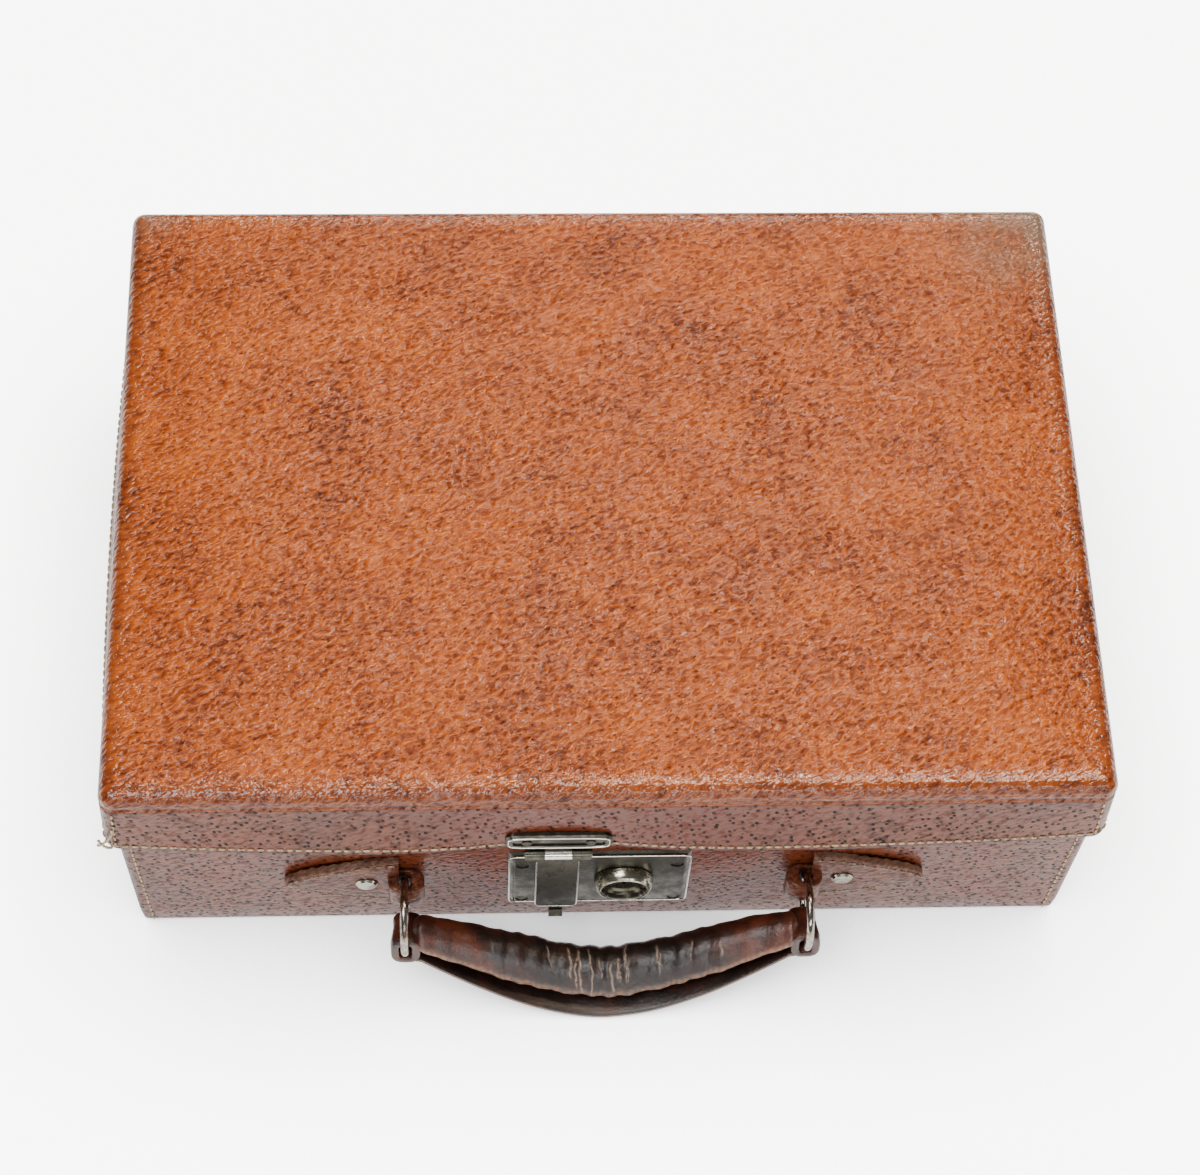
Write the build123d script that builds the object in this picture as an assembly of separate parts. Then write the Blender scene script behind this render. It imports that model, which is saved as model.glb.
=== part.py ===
from build123d import *
from math import atan2, cos, degrees, radians, sin, sqrt
import os

# A leather toiletry case: a tapered base, an overlapping lid on two stop hinges,
# a hasp that shuts over a sliding lock, and a rolled handle hung on two rings.
# Millimetres. X runs along the front, Y to the back, Z up, and the floor is z = 0.

# Closed case
LID_WIDTH = 356.0
LID_DEPTH = 254.0
CASE_HEIGHT = 114.3
LID_HEIGHT = 36.3
LID_FLARE = 1.3
LID_EDGE_RADIUS = 4.0
LID_CORNER_RADIUS = 5.0

# Layers of the lid, from the outside in
LID_LEATHER = 1.3
LID_BOARD = 1.5
LID_TOP_BOARD = 3.2
LID_LINING = 0.5
LID_CREASE_DROP = 8.0

# Base
BASE_INSET = 2.5
BASE_TAPER = 2.1
SHOULDER_DROP = 2.3
RIM_RISE = 14.0
BASE_CORNER_RADIUS = 4.0
BASE_LEATHER = 1.4
BASE_BOARD = 3.5
BASE_LINING = 0.7
RIM_LEATHER = 0.6

# Hinges at the back
HINGE_SPACING = 210.0
HINGE_WIDTH = 34.0
HINGE_KNUCKLE_RADIUS = 2.3
HINGE_PIN_RADIUS = 1.1
HINGE_LEAF = 1.1
HINGE_LID_LEAF_HEIGHT = 20.0
HINGE_BASE_LEAF_HEIGHT = 22.0
HINGE_STOP_ANGLE = 100.0
HINGE_STOP_REACH = 8.5
HINGE_LEAF_DROP = 1.5
HINGE_PIN_PROUD = 0.3
HINGE_RIVET_RADIUS = 1.0
HINGE_RIVET_HEAD = 2.0
HINGE_RIVET_OFFSET = 11.0
HINGE_RIVET_HEIGHT = 12.0
RIVET_HEAD_HEIGHT = 0.8

# Hasp on the lid
HASP_X = -18.0
HASP_BAR_WIDTH = 38.0
HASP_BAR_HEIGHT = 9.5
HASP_BAR_RISE = 2.2
HASP_BAR_LIFT = 0.2
HASP_BAR_CORNER = 3.0
HASP_BAR_BEVEL = 0.8
HASP_BAR_RIM = 2.5
HASP_TROUGH_DEPTH = 0.6
HASP_NECK = 1.4
HASP_KNUCKLE_RADIUS = 2.2
HASP_KNUCKLE_SINK = 0.4
HASP_PIN_PROUD = 0.2
HASP_PIN_RADIUS = 1.0
HASP_RIVET_HEAD = 1.7
HASP_RIVET_SPACING = 22.8
HASP_AXIS_DROP = 4.6
HASP_HEAD_WIDTH = 24.0
HASP_HEAD_DROP = 7.5
HASP_HEAD_CORNER = 2.0
HASP_CENTRE_KNUCKLE = 10.0
HASP_FLAP_WIDTH = 15.2
HASP_FLAP_LENGTH = 47.5
HASP_FLAP_THICKNESS = 1.5
HASP_FLAP_CORNER = 2.6
HASP_TAB_WIDTH = 5.2
HASP_TAB_LENGTH = 6.5
HASP_TAB_LAP = 3.0
HASP_TAB_BEND = 2.0
HASP_TAB_TURN = 2.6
HASP_TAB_TIP = 0.8
HASP_TAB_SHEET = 1.2

# Lock on the front
LOCK_X = -2.3
LOCK_Z = 41.1
LOCK_WIDTH = 66.6
LOCK_HEIGHT = 42.4
LOCK_RISE = 2.2
LOCK_SHEET = 1.0
LOCK_BEVEL_SIDE = 2.4
LOCK_BEVEL_TOP = 1.4
LOCK_CASE_MARGIN = 9.3
LOCK_CASE_HEIGHT = 29.0
LOCK_CASE_SHEET = 0.8
STAPLE_HEIGHT = 9.0
STAPLE_THICKNESS = 3.0
STAPLE_WIRE = 1.6
STAPLE_TIP = 1.0
STAPLE_REACH = 1.8
STAPLE_SLOT_WIDTH = 5.0
STAPLE_ROOM = 1.0
BUTTON_X = 6.9
BUTTON_BASE_RADIUS = 11.0
BUTTON_RIM_RADIUS = 10.3
BUTTON_HEIGHT = 4.9
BUTTON_DISH_RADIUS = 8.7
BUTTON_NECK_RADIUS = 3.4
BUTTON_TRAVEL = 5.0
BUTTON_FLOOR = 1.2
BUTTON_ROLL = 0.8
BUTTON_DISH_FLAT = 0.9
BOLT_THICKNESS = 1.0
BOLT_HEIGHT = 10.0
BOLT_FINGER_HEIGHT = 4.4
BOLT_TAIL = 4.0
BOLT_SHOULDER = 2.0
GUIDE_OFFSETS = (2.0, 18.0)
GUIDE_WIDTH = 3.0
GUIDE_OVERHANG = 2.0
SPRING_OFFSET = 4.0
SPRING_HALF_SPAN = 9.0
SPRING_SHEET = 0.5
SPRING_WIDTH = 1.4
SPRING_GAP = 0.1
KEY_BARREL_RADIUS = 2.3
KEY_SLOT_WIDTH = 1.4
KEY_SLOT_HEIGHT = 3.2
LOCK_RIVET_HEAD = 2.1
LOCK_RIVET_SHANK = 1.2
LOCK_RIVET_INSET_X = 5.0
LOCK_RIVET_INSET_TOP = 8.3
LOCK_RIVET_INSET_BOTTOM = 3.6
LOCK_RIVET_PAD = 1.2
LOCK_RIVET_SEAT = 0.8
LOCK_RIVET_SINK = 0.3
KEY_SLOT_DEPTH = 1.8
KEY_BARREL_PROUD = 0.2

# Rings, their leather chapes and the handle
RING_X = 73.5
RING_Z = 42.0
RING_RADIUS = 13.0
RING_WIRE_RADIUS = 1.5
CHAPE_LEATHER = 1.5
CHAPE_TIP_X = 117.5
CHAPE_LEAF_START_X = 77.0
CHAPE_HALF_HEIGHT = 17.5
CHAPE_NOSE_HEIGHT = 13.0
CHAPE_NOSE_WALL = 2.2
CHAPE_HOLE_WIDTH = 4.8
CHAPE_RIVET_X = 87.5
CHAPE_RIVET_HEAD = 4.1
CHAPE_RIVET_SHANK = 1.5
CHAPE_RIVET_RISE = 1.3
CHAPE_TIP_HALF = 1.0
CHAPE_BELLY_SHARE = 0.72
CHAPE_BELLY_SHIFT = 4.0
CHAPE_EDGE_BEVEL = 0.6
CHAPE_NOSE_REACH = 4.8
CHAPE_NOSE_SHOULDER = 2.4
CHAPE_HOLE_CORNER = 1.6
HANDLE_LOOP_WIDTH = 15.0
HANDLE_LOOP_ANGLE = 17.0
HANDLE_LOOP_HOLE_WIDTH = 4.6
HANDLE_LOOP_ROOT = 3.0
HANDLE_LEATHER = 2.2
HANDLE_STRAP_WIDTH = 17.0
HANDLE_STRAP_THICKNESS = 2.8
HANDLE_ROLL_RADIUS = 8.2
HANDLE_ROLL_END_RADIUS = 5.6
HANDLE_LOOP_CORNER = 2.4
HANDLE_STRAP_TUCK = 0.8
HANDLE_ROLL_INSET = 4.6
HANDLE_ROLL_SWELL = 1.6
HANDLE_CORE_SHARE = 0.45
HANDLE_REACH = 15.0

# Clearances
RUNNING = 0.05
SEAT = 0.25
FREE = 0.4
FLOOR_GAP = 0.3
TOUCH = 0.02

# How far a cutting tool runs past what it cuts
PAST = 1.0

# Heights that follow from the sizes above
LIP_Z = CASE_HEIGHT - LID_HEIGHT
SHOULDER_Z = LIP_Z - SHOULDER_DROP
RIM_Z = LIP_Z + RIM_RISE
CREASE_Z = CASE_HEIGHT - LID_CREASE_DROP
SHOULDER_HALF_X = LID_WIDTH / 2 - BASE_INSET
SHOULDER_HALF_Y = LID_DEPTH / 2 - BASE_INSET
LIP_HALF_Y = LID_DEPTH / 2 + LID_FLARE
LID_TILT = degrees(atan2(LID_FLARE, LID_HEIGHT))
WALL_TILT = degrees(atan2(BASE_TAPER, SHOULDER_Z))
FRONT = Plane(
    origin=(0, -(SHOULDER_HALF_Y - BASE_TAPER), 0),
    x_dir=(1, 0, 0),
    z_dir=(0, -cos(radians(WALL_TILT)), -sin(radians(WALL_TILT))),
)
BACK = Plane(
    origin=(0, SHOULDER_HALF_Y - BASE_TAPER, 0),
    x_dir=(-1, 0, 0),
    z_dir=(0, cos(radians(WALL_TILT)), -sin(radians(WALL_TILT))),
)


def slab(width, depth, z, radius):
    """Rounded rectangle lying level at height z."""
    return Plane.XY.offset(z) * RectangleRounded(width, depth, radius)


def box_between(low, high):
    """Box from its lowest corner to its highest."""
    size = [b - a for a, b in zip(low, high)]
    middle = [(a + b) / 2 for a, b in zip(low, high)]
    return Pos(*middle) * Box(*size)


def keep(solid, low, high):
    """The part of a solid that lies inside a box."""
    return solid & box_between(low, high)


def four_walls(ring, half_x, half_y, low_z, high_z):
    """Cut a ring of wall into its front, back, left and right pieces."""
    far = LID_WIDTH
    return {
        "front": keep(ring, (-far, -far, low_z), (far, -half_y, high_z)),
        "back": keep(ring, (-far, half_y, low_z), (far, far, high_z)),
        "left": keep(ring, (-far, -half_y, low_z), (-half_x, half_y, high_z)),
        "right": keep(ring, (half_x, -half_y, low_z), (far, half_y, high_z)),
    }


def lid_block(inset, top_inset):
    """The lid's outer form made smaller by an inset, from the lip up to its top."""
    top = CASE_HEIGHT - top_inset
    radius = max(LID_CORNER_RADIUS - inset, 1.0)
    grow = 2 * (LID_FLARE - inset)
    lip = slab(LID_WIDTH + grow, LID_DEPTH + grow, LIP_Z, radius + LID_FLARE)
    block = extrude(lip, top - LIP_Z, taper=LID_TILT)
    edge = LID_EDGE_RADIUS - inset
    if edge > 1.0:
        block = fillet(block.faces().sort_by(Axis.Z)[-1].edges(), edge)
    return block


def base_block(inset, floor_z, top_z):
    """The base's outer form made smaller by an inset: tapered to the shoulder, then upright."""
    radius = max(BASE_CORNER_RADIUS - inset, 1.0)
    wide = 2 * (SHOULDER_HALF_X - inset)
    deep = 2 * (SHOULDER_HALF_Y - inset)
    radius += BASE_TAPER
    block = extrude(slab(wide, deep, SHOULDER_Z, radius), -(SHOULDER_Z - floor_z), taper=WALL_TILT)
    if top_z > SHOULDER_Z:
        block += extrude(slab(wide, deep, SHOULDER_Z, radius), top_z - SHOULDER_Z)
    return block


def on_front(x, z, out):
    """Place on the front wall: along it, up it, and out of it."""
    return FRONT * Pos(x, z, out)


def front_rod(x, z, radius, inner, outer):
    """Round rod square to the front wall, from one depth to another."""
    return on_front(x, z, (inner + outer) / 2) * Cylinder(radius, outer - inner)


def lock_corners():
    """Centres of the four lock rivets on the front wall."""
    right = LOCK_WIDTH / 2 - LOCK_RIVET_INSET_X
    top = LOCK_Z + LOCK_HEIGHT / 2 - LOCK_RIVET_INSET_TOP
    bottom = LOCK_Z - LOCK_HEIGHT / 2 + LOCK_RIVET_INSET_BOTTOM
    return [(LOCK_X + side * right, z) for side in (-1, 1) for z in (top, bottom)]


# Depths of the walls' and the lock's layers, measured out of the leather's face
LID_BACK = -(LID_LEATHER + LID_BOARD)
BOARD_BACK = -(BASE_LEATHER + BASE_BOARD)
LOCK_CASE_BACK = BOARD_BACK + SEAT
PAN_BACK = LOCK_RISE - LOCK_SHEET
BUTTON_FOOT = LOCK_RISE + 2 * RUNNING
BUTTON_FLOOR_FACE = BUTTON_FOOT + BUTTON_FLOOR
BOLT_FRONT = BOLT_THICKNESS / 2
BOLT_BACK = -BOLT_THICKNESS / 2
LOCK_TOP = LOCK_Z + LOCK_HEIGHT / 2
LOCK_CASE_TOP = LOCK_Z + LOCK_CASE_HEIGHT / 2
LOCK_CASE_WIDTH = LOCK_WIDTH - 2 * LOCK_CASE_MARGIN


def staple_slot(inner, outer, low_z):
    """Slot for the staple, open at the top so that the shut hasp can rise with the lid."""
    high_z = LOCK_TOP + PAST
    centre = on_front(HASP_X, (low_z + high_z) / 2, (inner + outer) / 2)
    return centre * Box(STAPLE_SLOT_WIDTH, high_z - low_z, outer - inner)


def lock_openings(inner, outer):
    """What the hardware takes out of the front wall: the lock's case and all the rivet holes."""
    depth = outer - inner
    middle = (inner + outer) / 2
    pocket = Box(LOCK_CASE_WIDTH + 2 * FREE, LOCK_CASE_HEIGHT + 2 * FREE, depth)
    cuts = [on_front(LOCK_X, LOCK_Z, middle) * pocket]
    for x, z in lock_corners():
        cuts.append(front_rod(x, z, LOCK_RIVET_SHANK + RUNNING, inner, outer))
    for side in (-1, 1):
        cuts.append(front_rod(side * CHAPE_RIVET_X, RING_Z, CHAPE_RIVET_SHANK + RUNNING, inner, outer))
    return cuts


def hinge_positions():
    """Distances along X of the two hinges."""
    return [side * HINGE_SPACING / 2 for side in (-1, 1)]


# The lid's hinge axis lies just behind the lip of its back wall
HINGE_Y = LIP_HALF_Y + HINGE_KNUCKLE_RADIUS + SEAT
HINGE_Z = LIP_Z


def back_rod(x, z, radius, inner, outer):
    """Round rod square to the base's back wall."""
    return BACK * Pos(-x, z, (inner + outer) / 2) * Cylinder(radius, outer - inner)


def lid_back_rod(x, z, radius, inner, outer):
    """Level rod through the lid's back wall, by its distance behind the lip's face."""
    y = LIP_HALF_Y + (inner + outer) / 2
    return Pos(x, y, z) * Rot(X=90) * Cylinder(radius, outer - inner)


def hinge_rivet_spots():
    """Distances along X of the hinges' rivets."""
    return [x + side * HINGE_RIVET_OFFSET for x in hinge_positions() for side in (-1, 1)]


def build_base_shell(nodes):
    """Leather, boards and lining of the base."""
    skin = base_block(0, 0, SHOULDER_Z) - base_block(BASE_LEATHER, BASE_LEATHER, SHOULDER_Z)
    far = LID_WIDTH
    nodes["base_bottom_leather"] = keep(skin, (-far, -far, 0), (far, far, BASE_LEATHER))
    half_x = SHOULDER_HALF_X - BASE_TAPER - BASE_LEATHER
    half_y = SHOULDER_HALF_Y - BASE_TAPER - BASE_LEATHER
    sides = four_walls(skin, half_x, half_y, BASE_LEATHER, SHOULDER_Z)
    for tool in lock_openings(-BASE_LEATHER - PAST, PAST):
        sides["front"] -= tool
    sides["front"] -= staple_slot(-PAST, PAST, LOCK_CASE_TOP)
    for x in hinge_rivet_spots():
        z = SHOULDER_Z - HINGE_RIVET_HEIGHT
        sides["back"] -= back_rod(x, z, HINGE_RIVET_RADIUS + RUNNING, -BASE_LEATHER - PAST, PAST)
    for name, piece in sides.items():
        nodes[f"base_{name}_leather"] = piece

    wall = BASE_LEATHER + BASE_BOARD
    carcass = base_block(BASE_LEATHER, BASE_LEATHER, RIM_Z) - base_block(wall, wall, RIM_Z + PAST)
    nodes["base_floor_board"] = keep(carcass, (-far, -far, BASE_LEATHER), (far, far, wall))
    half_x = SHOULDER_HALF_X - BASE_TAPER - wall
    half_y = SHOULDER_HALF_Y - BASE_TAPER - wall
    boards = four_walls(carcass, half_x, half_y, wall, RIM_Z)
    for tool in lock_openings(BOARD_BACK - PAST, PAST):
        boards["front"] -= tool
    for x in hinge_rivet_spots():
        z = SHOULDER_Z - HINGE_RIVET_HEIGHT
        boards["back"] -= back_rod(x, z, HINGE_RIVET_RADIUS + RUNNING, BOARD_BACK - PAST, PAST)
    for name, piece in boards.items():
        nodes[f"base_{name}_board"] = piece

    inside = wall + BASE_LINING
    nodes["base_lining"] = base_block(wall, wall, RIM_Z) - base_block(inside, inside, RIM_Z + PAST)
    cap_top = RIM_Z + RIM_LEATHER
    outer = base_block(BASE_LEATHER - RIM_LEATHER, SHOULDER_Z - PAST, cap_top)
    outer = keep(outer, (-far, -far, SHOULDER_Z), (far, far, cap_top))
    binding = outer - base_block(BASE_LEATHER, SHOULDER_Z - PAST, RIM_Z)
    nodes["base_rim_binding"] = binding - base_block(inside, SHOULDER_Z - PAST, cap_top + PAST)


def build_lid_shell(nodes):
    """Leather, boards and lining of the lid."""
    far = LID_WIDTH
    skin = lid_block(0, 0) - lid_block(LID_LEATHER, LID_LEATHER)
    nodes["lid_top_leather"] = keep(skin, (-far, -far, CREASE_Z), (far, far, CASE_HEIGHT))
    half_x = LID_WIDTH / 2 - LID_LEATHER
    half_y = LID_DEPTH / 2 - LID_LEATHER
    sides = four_walls(skin, half_x, half_y, LIP_Z, CREASE_Z)
    for x in hinge_rivet_spots():
        z = LIP_Z + HINGE_RIVET_HEIGHT
        sides["back"] -= lid_back_rod(x, z, HINGE_RIVET_RADIUS + RUNNING, LID_BACK - PAST, PAST)
    for x in hasp_rivet_spots():
        sides["front"] -= hasp_rod(x, HASP_PIN_RADIUS + RUNNING, LID_BACK - PAST, PAST)
    for name, piece in sides.items():
        nodes[f"lid_{name}_leather"] = piece

    wall = LID_LEATHER + LID_BOARD
    ceiling = LID_LEATHER + LID_TOP_BOARD
    carcass = lid_block(LID_LEATHER, LID_LEATHER) - lid_block(wall, ceiling)
    split = CASE_HEIGHT - ceiling
    nodes["lid_top_board"] = keep(carcass, (-far, -far, split), (far, far, CASE_HEIGHT))
    half_x = LID_WIDTH / 2 - wall
    half_y = LID_DEPTH / 2 - wall
    boards = four_walls(carcass, half_x, half_y, LIP_Z, split)
    for x in hinge_rivet_spots():
        z = LIP_Z + HINGE_RIVET_HEIGHT
        boards["back"] -= lid_back_rod(x, z, HINGE_RIVET_RADIUS + RUNNING, LID_BACK - PAST, PAST)
    for x in hasp_rivet_spots():
        boards["front"] -= hasp_rod(x, HASP_PIN_RADIUS + RUNNING, LID_BACK - PAST, PAST)
    for name, piece in boards.items():
        nodes[f"lid_{name}_board"] = piece
    nodes["lid_lining"] = lid_block(wall, ceiling) - lid_block(wall + LID_LINING, ceiling + LID_LINING)


def knuckle(x, y, z, radius, width):
    """Hinge knuckle along X."""
    return Pos(x, y, z) * Rot(Y=90) * Cylinder(radius, width)


def side_prism(points, x, width):
    """Outline in Y and Z pushed along X about a middle."""
    outline = Plane.YZ.offset(x - width / 2) * make_face(Polyline(*points, close=True))
    return extrude(outline, width)


def hinge_base_leaf(x):
    """Leaf on the base's back wall, cranked out under the lid's lip, with its stop tongue."""
    knuckle_width = HINGE_WIDTH / 3 - RUNNING
    leaf_top = SHOULDER_Z - HINGE_LEAF_DROP
    leaf_middle = leaf_top - HINGE_BASE_LEAF_HEIGHT / 2
    place = BACK * Pos(-x, leaf_middle, HINGE_LEAF / 2)
    leaf = place * Box(HINGE_WIDTH, HINGE_BASE_LEAF_HEIGHT, HINGE_LEAF)
    wall_y = SHOULDER_HALF_Y - BASE_TAPER + BASE_TAPER * leaf_top / SHOULDER_Z
    under = HINGE_Z - HINGE_KNUCKLE_RADIUS
    crank = [
        (wall_y, leaf_top - HINGE_LEAF),
        (HINGE_Y - HINGE_LEAF / 2, under - HINGE_LEAF),
        (HINGE_Y, under + HINGE_LEAF / 3),
        (HINGE_Y - HINGE_KNUCKLE_RADIUS + SEAT, HINGE_Z - HINGE_LEAF),
        (wall_y, leaf_top),
    ]
    swing = radians(HINGE_STOP_ANGLE)
    face = -(HINGE_KNUCKLE_RADIUS - HINGE_LEAF)
    tongue = [(HINGE_Y, under), (HINGE_Y + HINGE_STOP_REACH, under)]
    for along in (HINGE_STOP_REACH, HINGE_KNUCKLE_RADIUS):
        y = face * cos(swing) + along * sin(swing)
        z = -face * sin(swing) + along * cos(swing) - SEAT
        tongue.append((HINGE_Y + y, HINGE_Z + z))
    tongue.append((HINGE_Y, HINGE_Z))
    for side in (-1, 1):
        centre = x + side * HINGE_WIDTH / 3
        leaf += knuckle(centre, HINGE_Y, HINGE_Z, HINGE_KNUCKLE_RADIUS, knuckle_width)
        leaf += side_prism(crank, centre, knuckle_width)
        leaf += side_prism(tongue, centre, knuckle_width)
    leaf -= knuckle(x, HINGE_Y, HINGE_Z, HINGE_PIN_RADIUS, HINGE_WIDTH * 2)
    leaf -= knuckle(x, HINGE_Y, HINGE_Z, HINGE_KNUCKLE_RADIUS + SEAT, HINGE_WIDTH / 3 + RUNNING)
    for side in (-1, 1):
        z = SHOULDER_Z - HINGE_RIVET_HEIGHT
        rivet_x = x + side * HINGE_RIVET_OFFSET
        leaf -= back_rod(rivet_x, z, HINGE_RIVET_RADIUS + RUNNING, -PAST, HINGE_LEAF + PAST)
    return leaf


def hinge_lid_leaf(x):
    """Leaf on the lid's back wall with the middle knuckle."""
    back_y = LIP_HALF_Y + RUNNING
    out_y = back_y + HINGE_LEAF
    low_z = LIP_Z + HINGE_KNUCKLE_RADIUS + SEAT
    high_z = LIP_Z + HINGE_LID_LEAF_HEIGHT
    half = HINGE_WIDTH / 2
    leaf = box_between((x - half, back_y, low_z), (x + half, out_y, high_z))
    middle = HINGE_WIDTH / 3 - RUNNING
    leaf += knuckle(x, HINGE_Y, HINGE_Z, HINGE_KNUCKLE_RADIUS, middle)
    leaf += box_between((x - middle / 2, back_y, HINGE_Z), (x + middle / 2, out_y, low_z + PAST))
    leaf -= knuckle(x, HINGE_Y, HINGE_Z, HINGE_PIN_RADIUS + RUNNING, HINGE_WIDTH * 2)
    for side in (-1, 1):
        z = LIP_Z + HINGE_RIVET_HEIGHT
        rivet_x = x + side * HINGE_RIVET_OFFSET
        leaf -= lid_back_rod(rivet_x, z, HINGE_RIVET_RADIUS + RUNNING, -PAST, HINGE_LEAF + PAST)
    return leaf


def build_hinges(nodes):
    """Two stop hinges with their pins and rivets."""
    nodes["hinge_base_leaves"] = Compound([hinge_base_leaf(x) for x in hinge_positions()])
    nodes["hinge_lid_leaves"] = Compound([hinge_lid_leaf(x) for x in hinge_positions()])
    pin_length = HINGE_WIDTH + 2 * HINGE_PIN_PROUD
    pins = [knuckle(x, HINGE_Y, HINGE_Z, HINGE_PIN_RADIUS, pin_length) for x in hinge_positions()]
    nodes["hinge_pins"] = Compound(pins)
    base_rivets = []
    lid_rivets = []
    for x in hinge_rivet_spots():
        low = SHOULDER_Z - HINGE_RIVET_HEIGHT
        high = LIP_Z + HINGE_RIVET_HEIGHT
        shank = back_rod(x, low, HINGE_RIVET_RADIUS, BOARD_BACK + SEAT, HINGE_LEAF)
        head = back_rod(x, low, HINGE_RIVET_HEAD, HINGE_LEAF, HINGE_LEAF + RIVET_HEAD_HEIGHT)
        base_rivets.append(shank + head)
        outer = HINGE_LEAF + RUNNING
        shank = lid_back_rod(x, high, HINGE_RIVET_RADIUS, LID_BACK + SEAT, outer)
        head = lid_back_rod(x, high, HINGE_RIVET_HEAD, outer, outer + RIVET_HEAD_HEIGHT)
        lid_rivets.append(shank + head)
    nodes["hinge_base_rivets"] = Compound(base_rivets)
    nodes["hinge_lid_rivets"] = Compound(lid_rivets)


# The hasp turns on an axis just under the lip of the lid's front
HASP_FACE_Y = -(LIP_HALF_Y + RUNNING)
HASP_Y = HASP_FACE_Y - HASP_KNUCKLE_RADIUS + HASP_KNUCKLE_SINK
HASP_Z = LIP_Z - HASP_AXIS_DROP
HASP_BAR_LOW = LIP_Z + HASP_BAR_LIFT
HASP_BAR_MIDDLE = HASP_BAR_LOW + HASP_BAR_HEIGHT / 2
FLAP_BACK_Y = HASP_Y + HASP_KNUCKLE_RADIUS - SEAT


def hasp_rivet_spots():
    """Distances along X of the hasp's rivets."""
    return [HASP_X + side * HASP_RIVET_SPACING / 2 for side in (-1, 1)]


def hasp_rod(x, radius, inner, outer):
    """Level rod through the lid's front wall at the hasp's rivets."""
    y = HASP_FACE_Y - (inner + outer) / 2
    return Pos(x, y, HASP_BAR_MIDDLE) * Rot(X=90) * Cylinder(radius, outer - inner)


def hasp_lid_plate():
    """Bar with a raised rim on the lid's lip, and the middle knuckle that hangs from it."""
    origin = (HASP_X, HASP_FACE_Y, HASP_BAR_MIDDLE)
    upright = Plane(origin=origin, x_dir=(1, 0, 0), z_dir=(0, -1, 0))
    outline = RectangleRounded(HASP_BAR_WIDTH, HASP_BAR_HEIGHT, HASP_BAR_CORNER)
    bar = extrude(upright * outline, HASP_BAR_RISE)
    bar = chamfer(bar.faces().sort_by(Axis.Y)[0].edges(), HASP_BAR_BEVEL)
    rim = 2 * HASP_BAR_RIM
    trough = RectangleRounded(HASP_BAR_WIDTH - rim, HASP_BAR_HEIGHT - rim, HASP_BAR_CORNER / 2)
    bar -= extrude(upright.offset(HASP_BAR_RISE - HASP_TROUGH_DEPTH) * trough, PAST)
    width = HASP_CENTRE_KNUCKLE - 2 * RUNNING
    left = HASP_X - width / 2
    neck_high = HASP_BAR_LOW + PAST
    bar += box_between((left, HASP_FACE_Y - HASP_NECK, HASP_Z), (left + width, HASP_FACE_Y, neck_high))
    bar += knuckle(HASP_X, HASP_Y, HASP_Z, HASP_KNUCKLE_RADIUS, width)
    bar -= knuckle(HASP_X, HASP_Y, HASP_Z, HASP_PIN_RADIUS, HASP_BAR_WIDTH * 2)
    for x in hasp_rivet_spots():
        bar -= hasp_rod(x, HASP_PIN_RADIUS + RUNNING, -PAST, HASP_BAR_RISE + PAST)
    return bar


def hasp_flap():
    """Head with the two outer knuckles, the narrower flap and its turned-out finger tab."""
    front_y = FLAP_BACK_Y - HASP_FLAP_THICKNESS
    flap_low = HASP_Z - HASP_FLAP_LENGTH
    upright = Plane(origin=(HASP_X, FLAP_BACK_Y, 0), x_dir=(1, 0, 0), z_dir=(0, -1, 0))
    head = RectangleRounded(HASP_HEAD_WIDTH, HASP_HEAD_DROP, HASP_HEAD_CORNER)
    head = Pos(0, HASP_Z - HASP_HEAD_DROP / 2) * head
    tongue = RectangleRounded(HASP_FLAP_WIDTH, HASP_FLAP_LENGTH, HASP_FLAP_CORNER)
    tongue = Pos(0, HASP_Z - HASP_FLAP_LENGTH / 2) * tongue
    flap = extrude(upright * (head + tongue), HASP_FLAP_THICKNESS)
    # The head is cut away behind and above the axis, and where the lid's knuckle stands
    half_head = HASP_HEAD_WIDTH / 2 + PAST
    high_z = HASP_Z + PAST
    behind_y = FLAP_BACK_Y + PAST
    flap -= box_between((HASP_X - half_head, HASP_Y, HASP_Z), (HASP_X + half_head, behind_y, high_z))
    window_half = HASP_CENTRE_KNUCKLE / 2 + RUNNING
    window_low = HASP_Z - HASP_KNUCKLE_RADIUS - SEAT
    window_front = HASP_Y - HASP_KNUCKLE_RADIUS - PAST
    window = box_between(
        (HASP_X - window_half, window_front, window_low),
        (HASP_X + window_half, behind_y, high_z),
    )
    flap -= window
    knuckle_width = (HASP_HEAD_WIDTH - HASP_CENTRE_KNUCKLE) / 2 - RUNNING
    for side in (-1, 1):
        x = HASP_X + side * (window_half + knuckle_width / 2)
        flap += knuckle(x, HASP_Y, HASP_Z, HASP_KNUCKLE_RADIUS, knuckle_width)
    flap -= knuckle(HASP_X, HASP_Y, HASP_Z, HASP_PIN_RADIUS + RUNNING, HASP_BAR_WIDTH * 2)
    tip_z = flap_low - HASP_TAB_LENGTH
    tip_y = FLAP_BACK_Y - HASP_TAB_TURN
    tab = [
        (FLAP_BACK_Y, flap_low + HASP_TAB_LAP),
        (FLAP_BACK_Y, tip_z + HASP_TAB_BEND),
        (tip_y, tip_z),
        (tip_y - HASP_TAB_TIP, tip_z + HASP_TAB_SHEET),
        (front_y, tip_z + HASP_TAB_BEND + HASP_TAB_SHEET),
        (front_y, flap_low + HASP_TAB_LAP),
    ]
    flap += side_prism(tab, HASP_X, HASP_TAB_WIDTH)
    return flap


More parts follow.
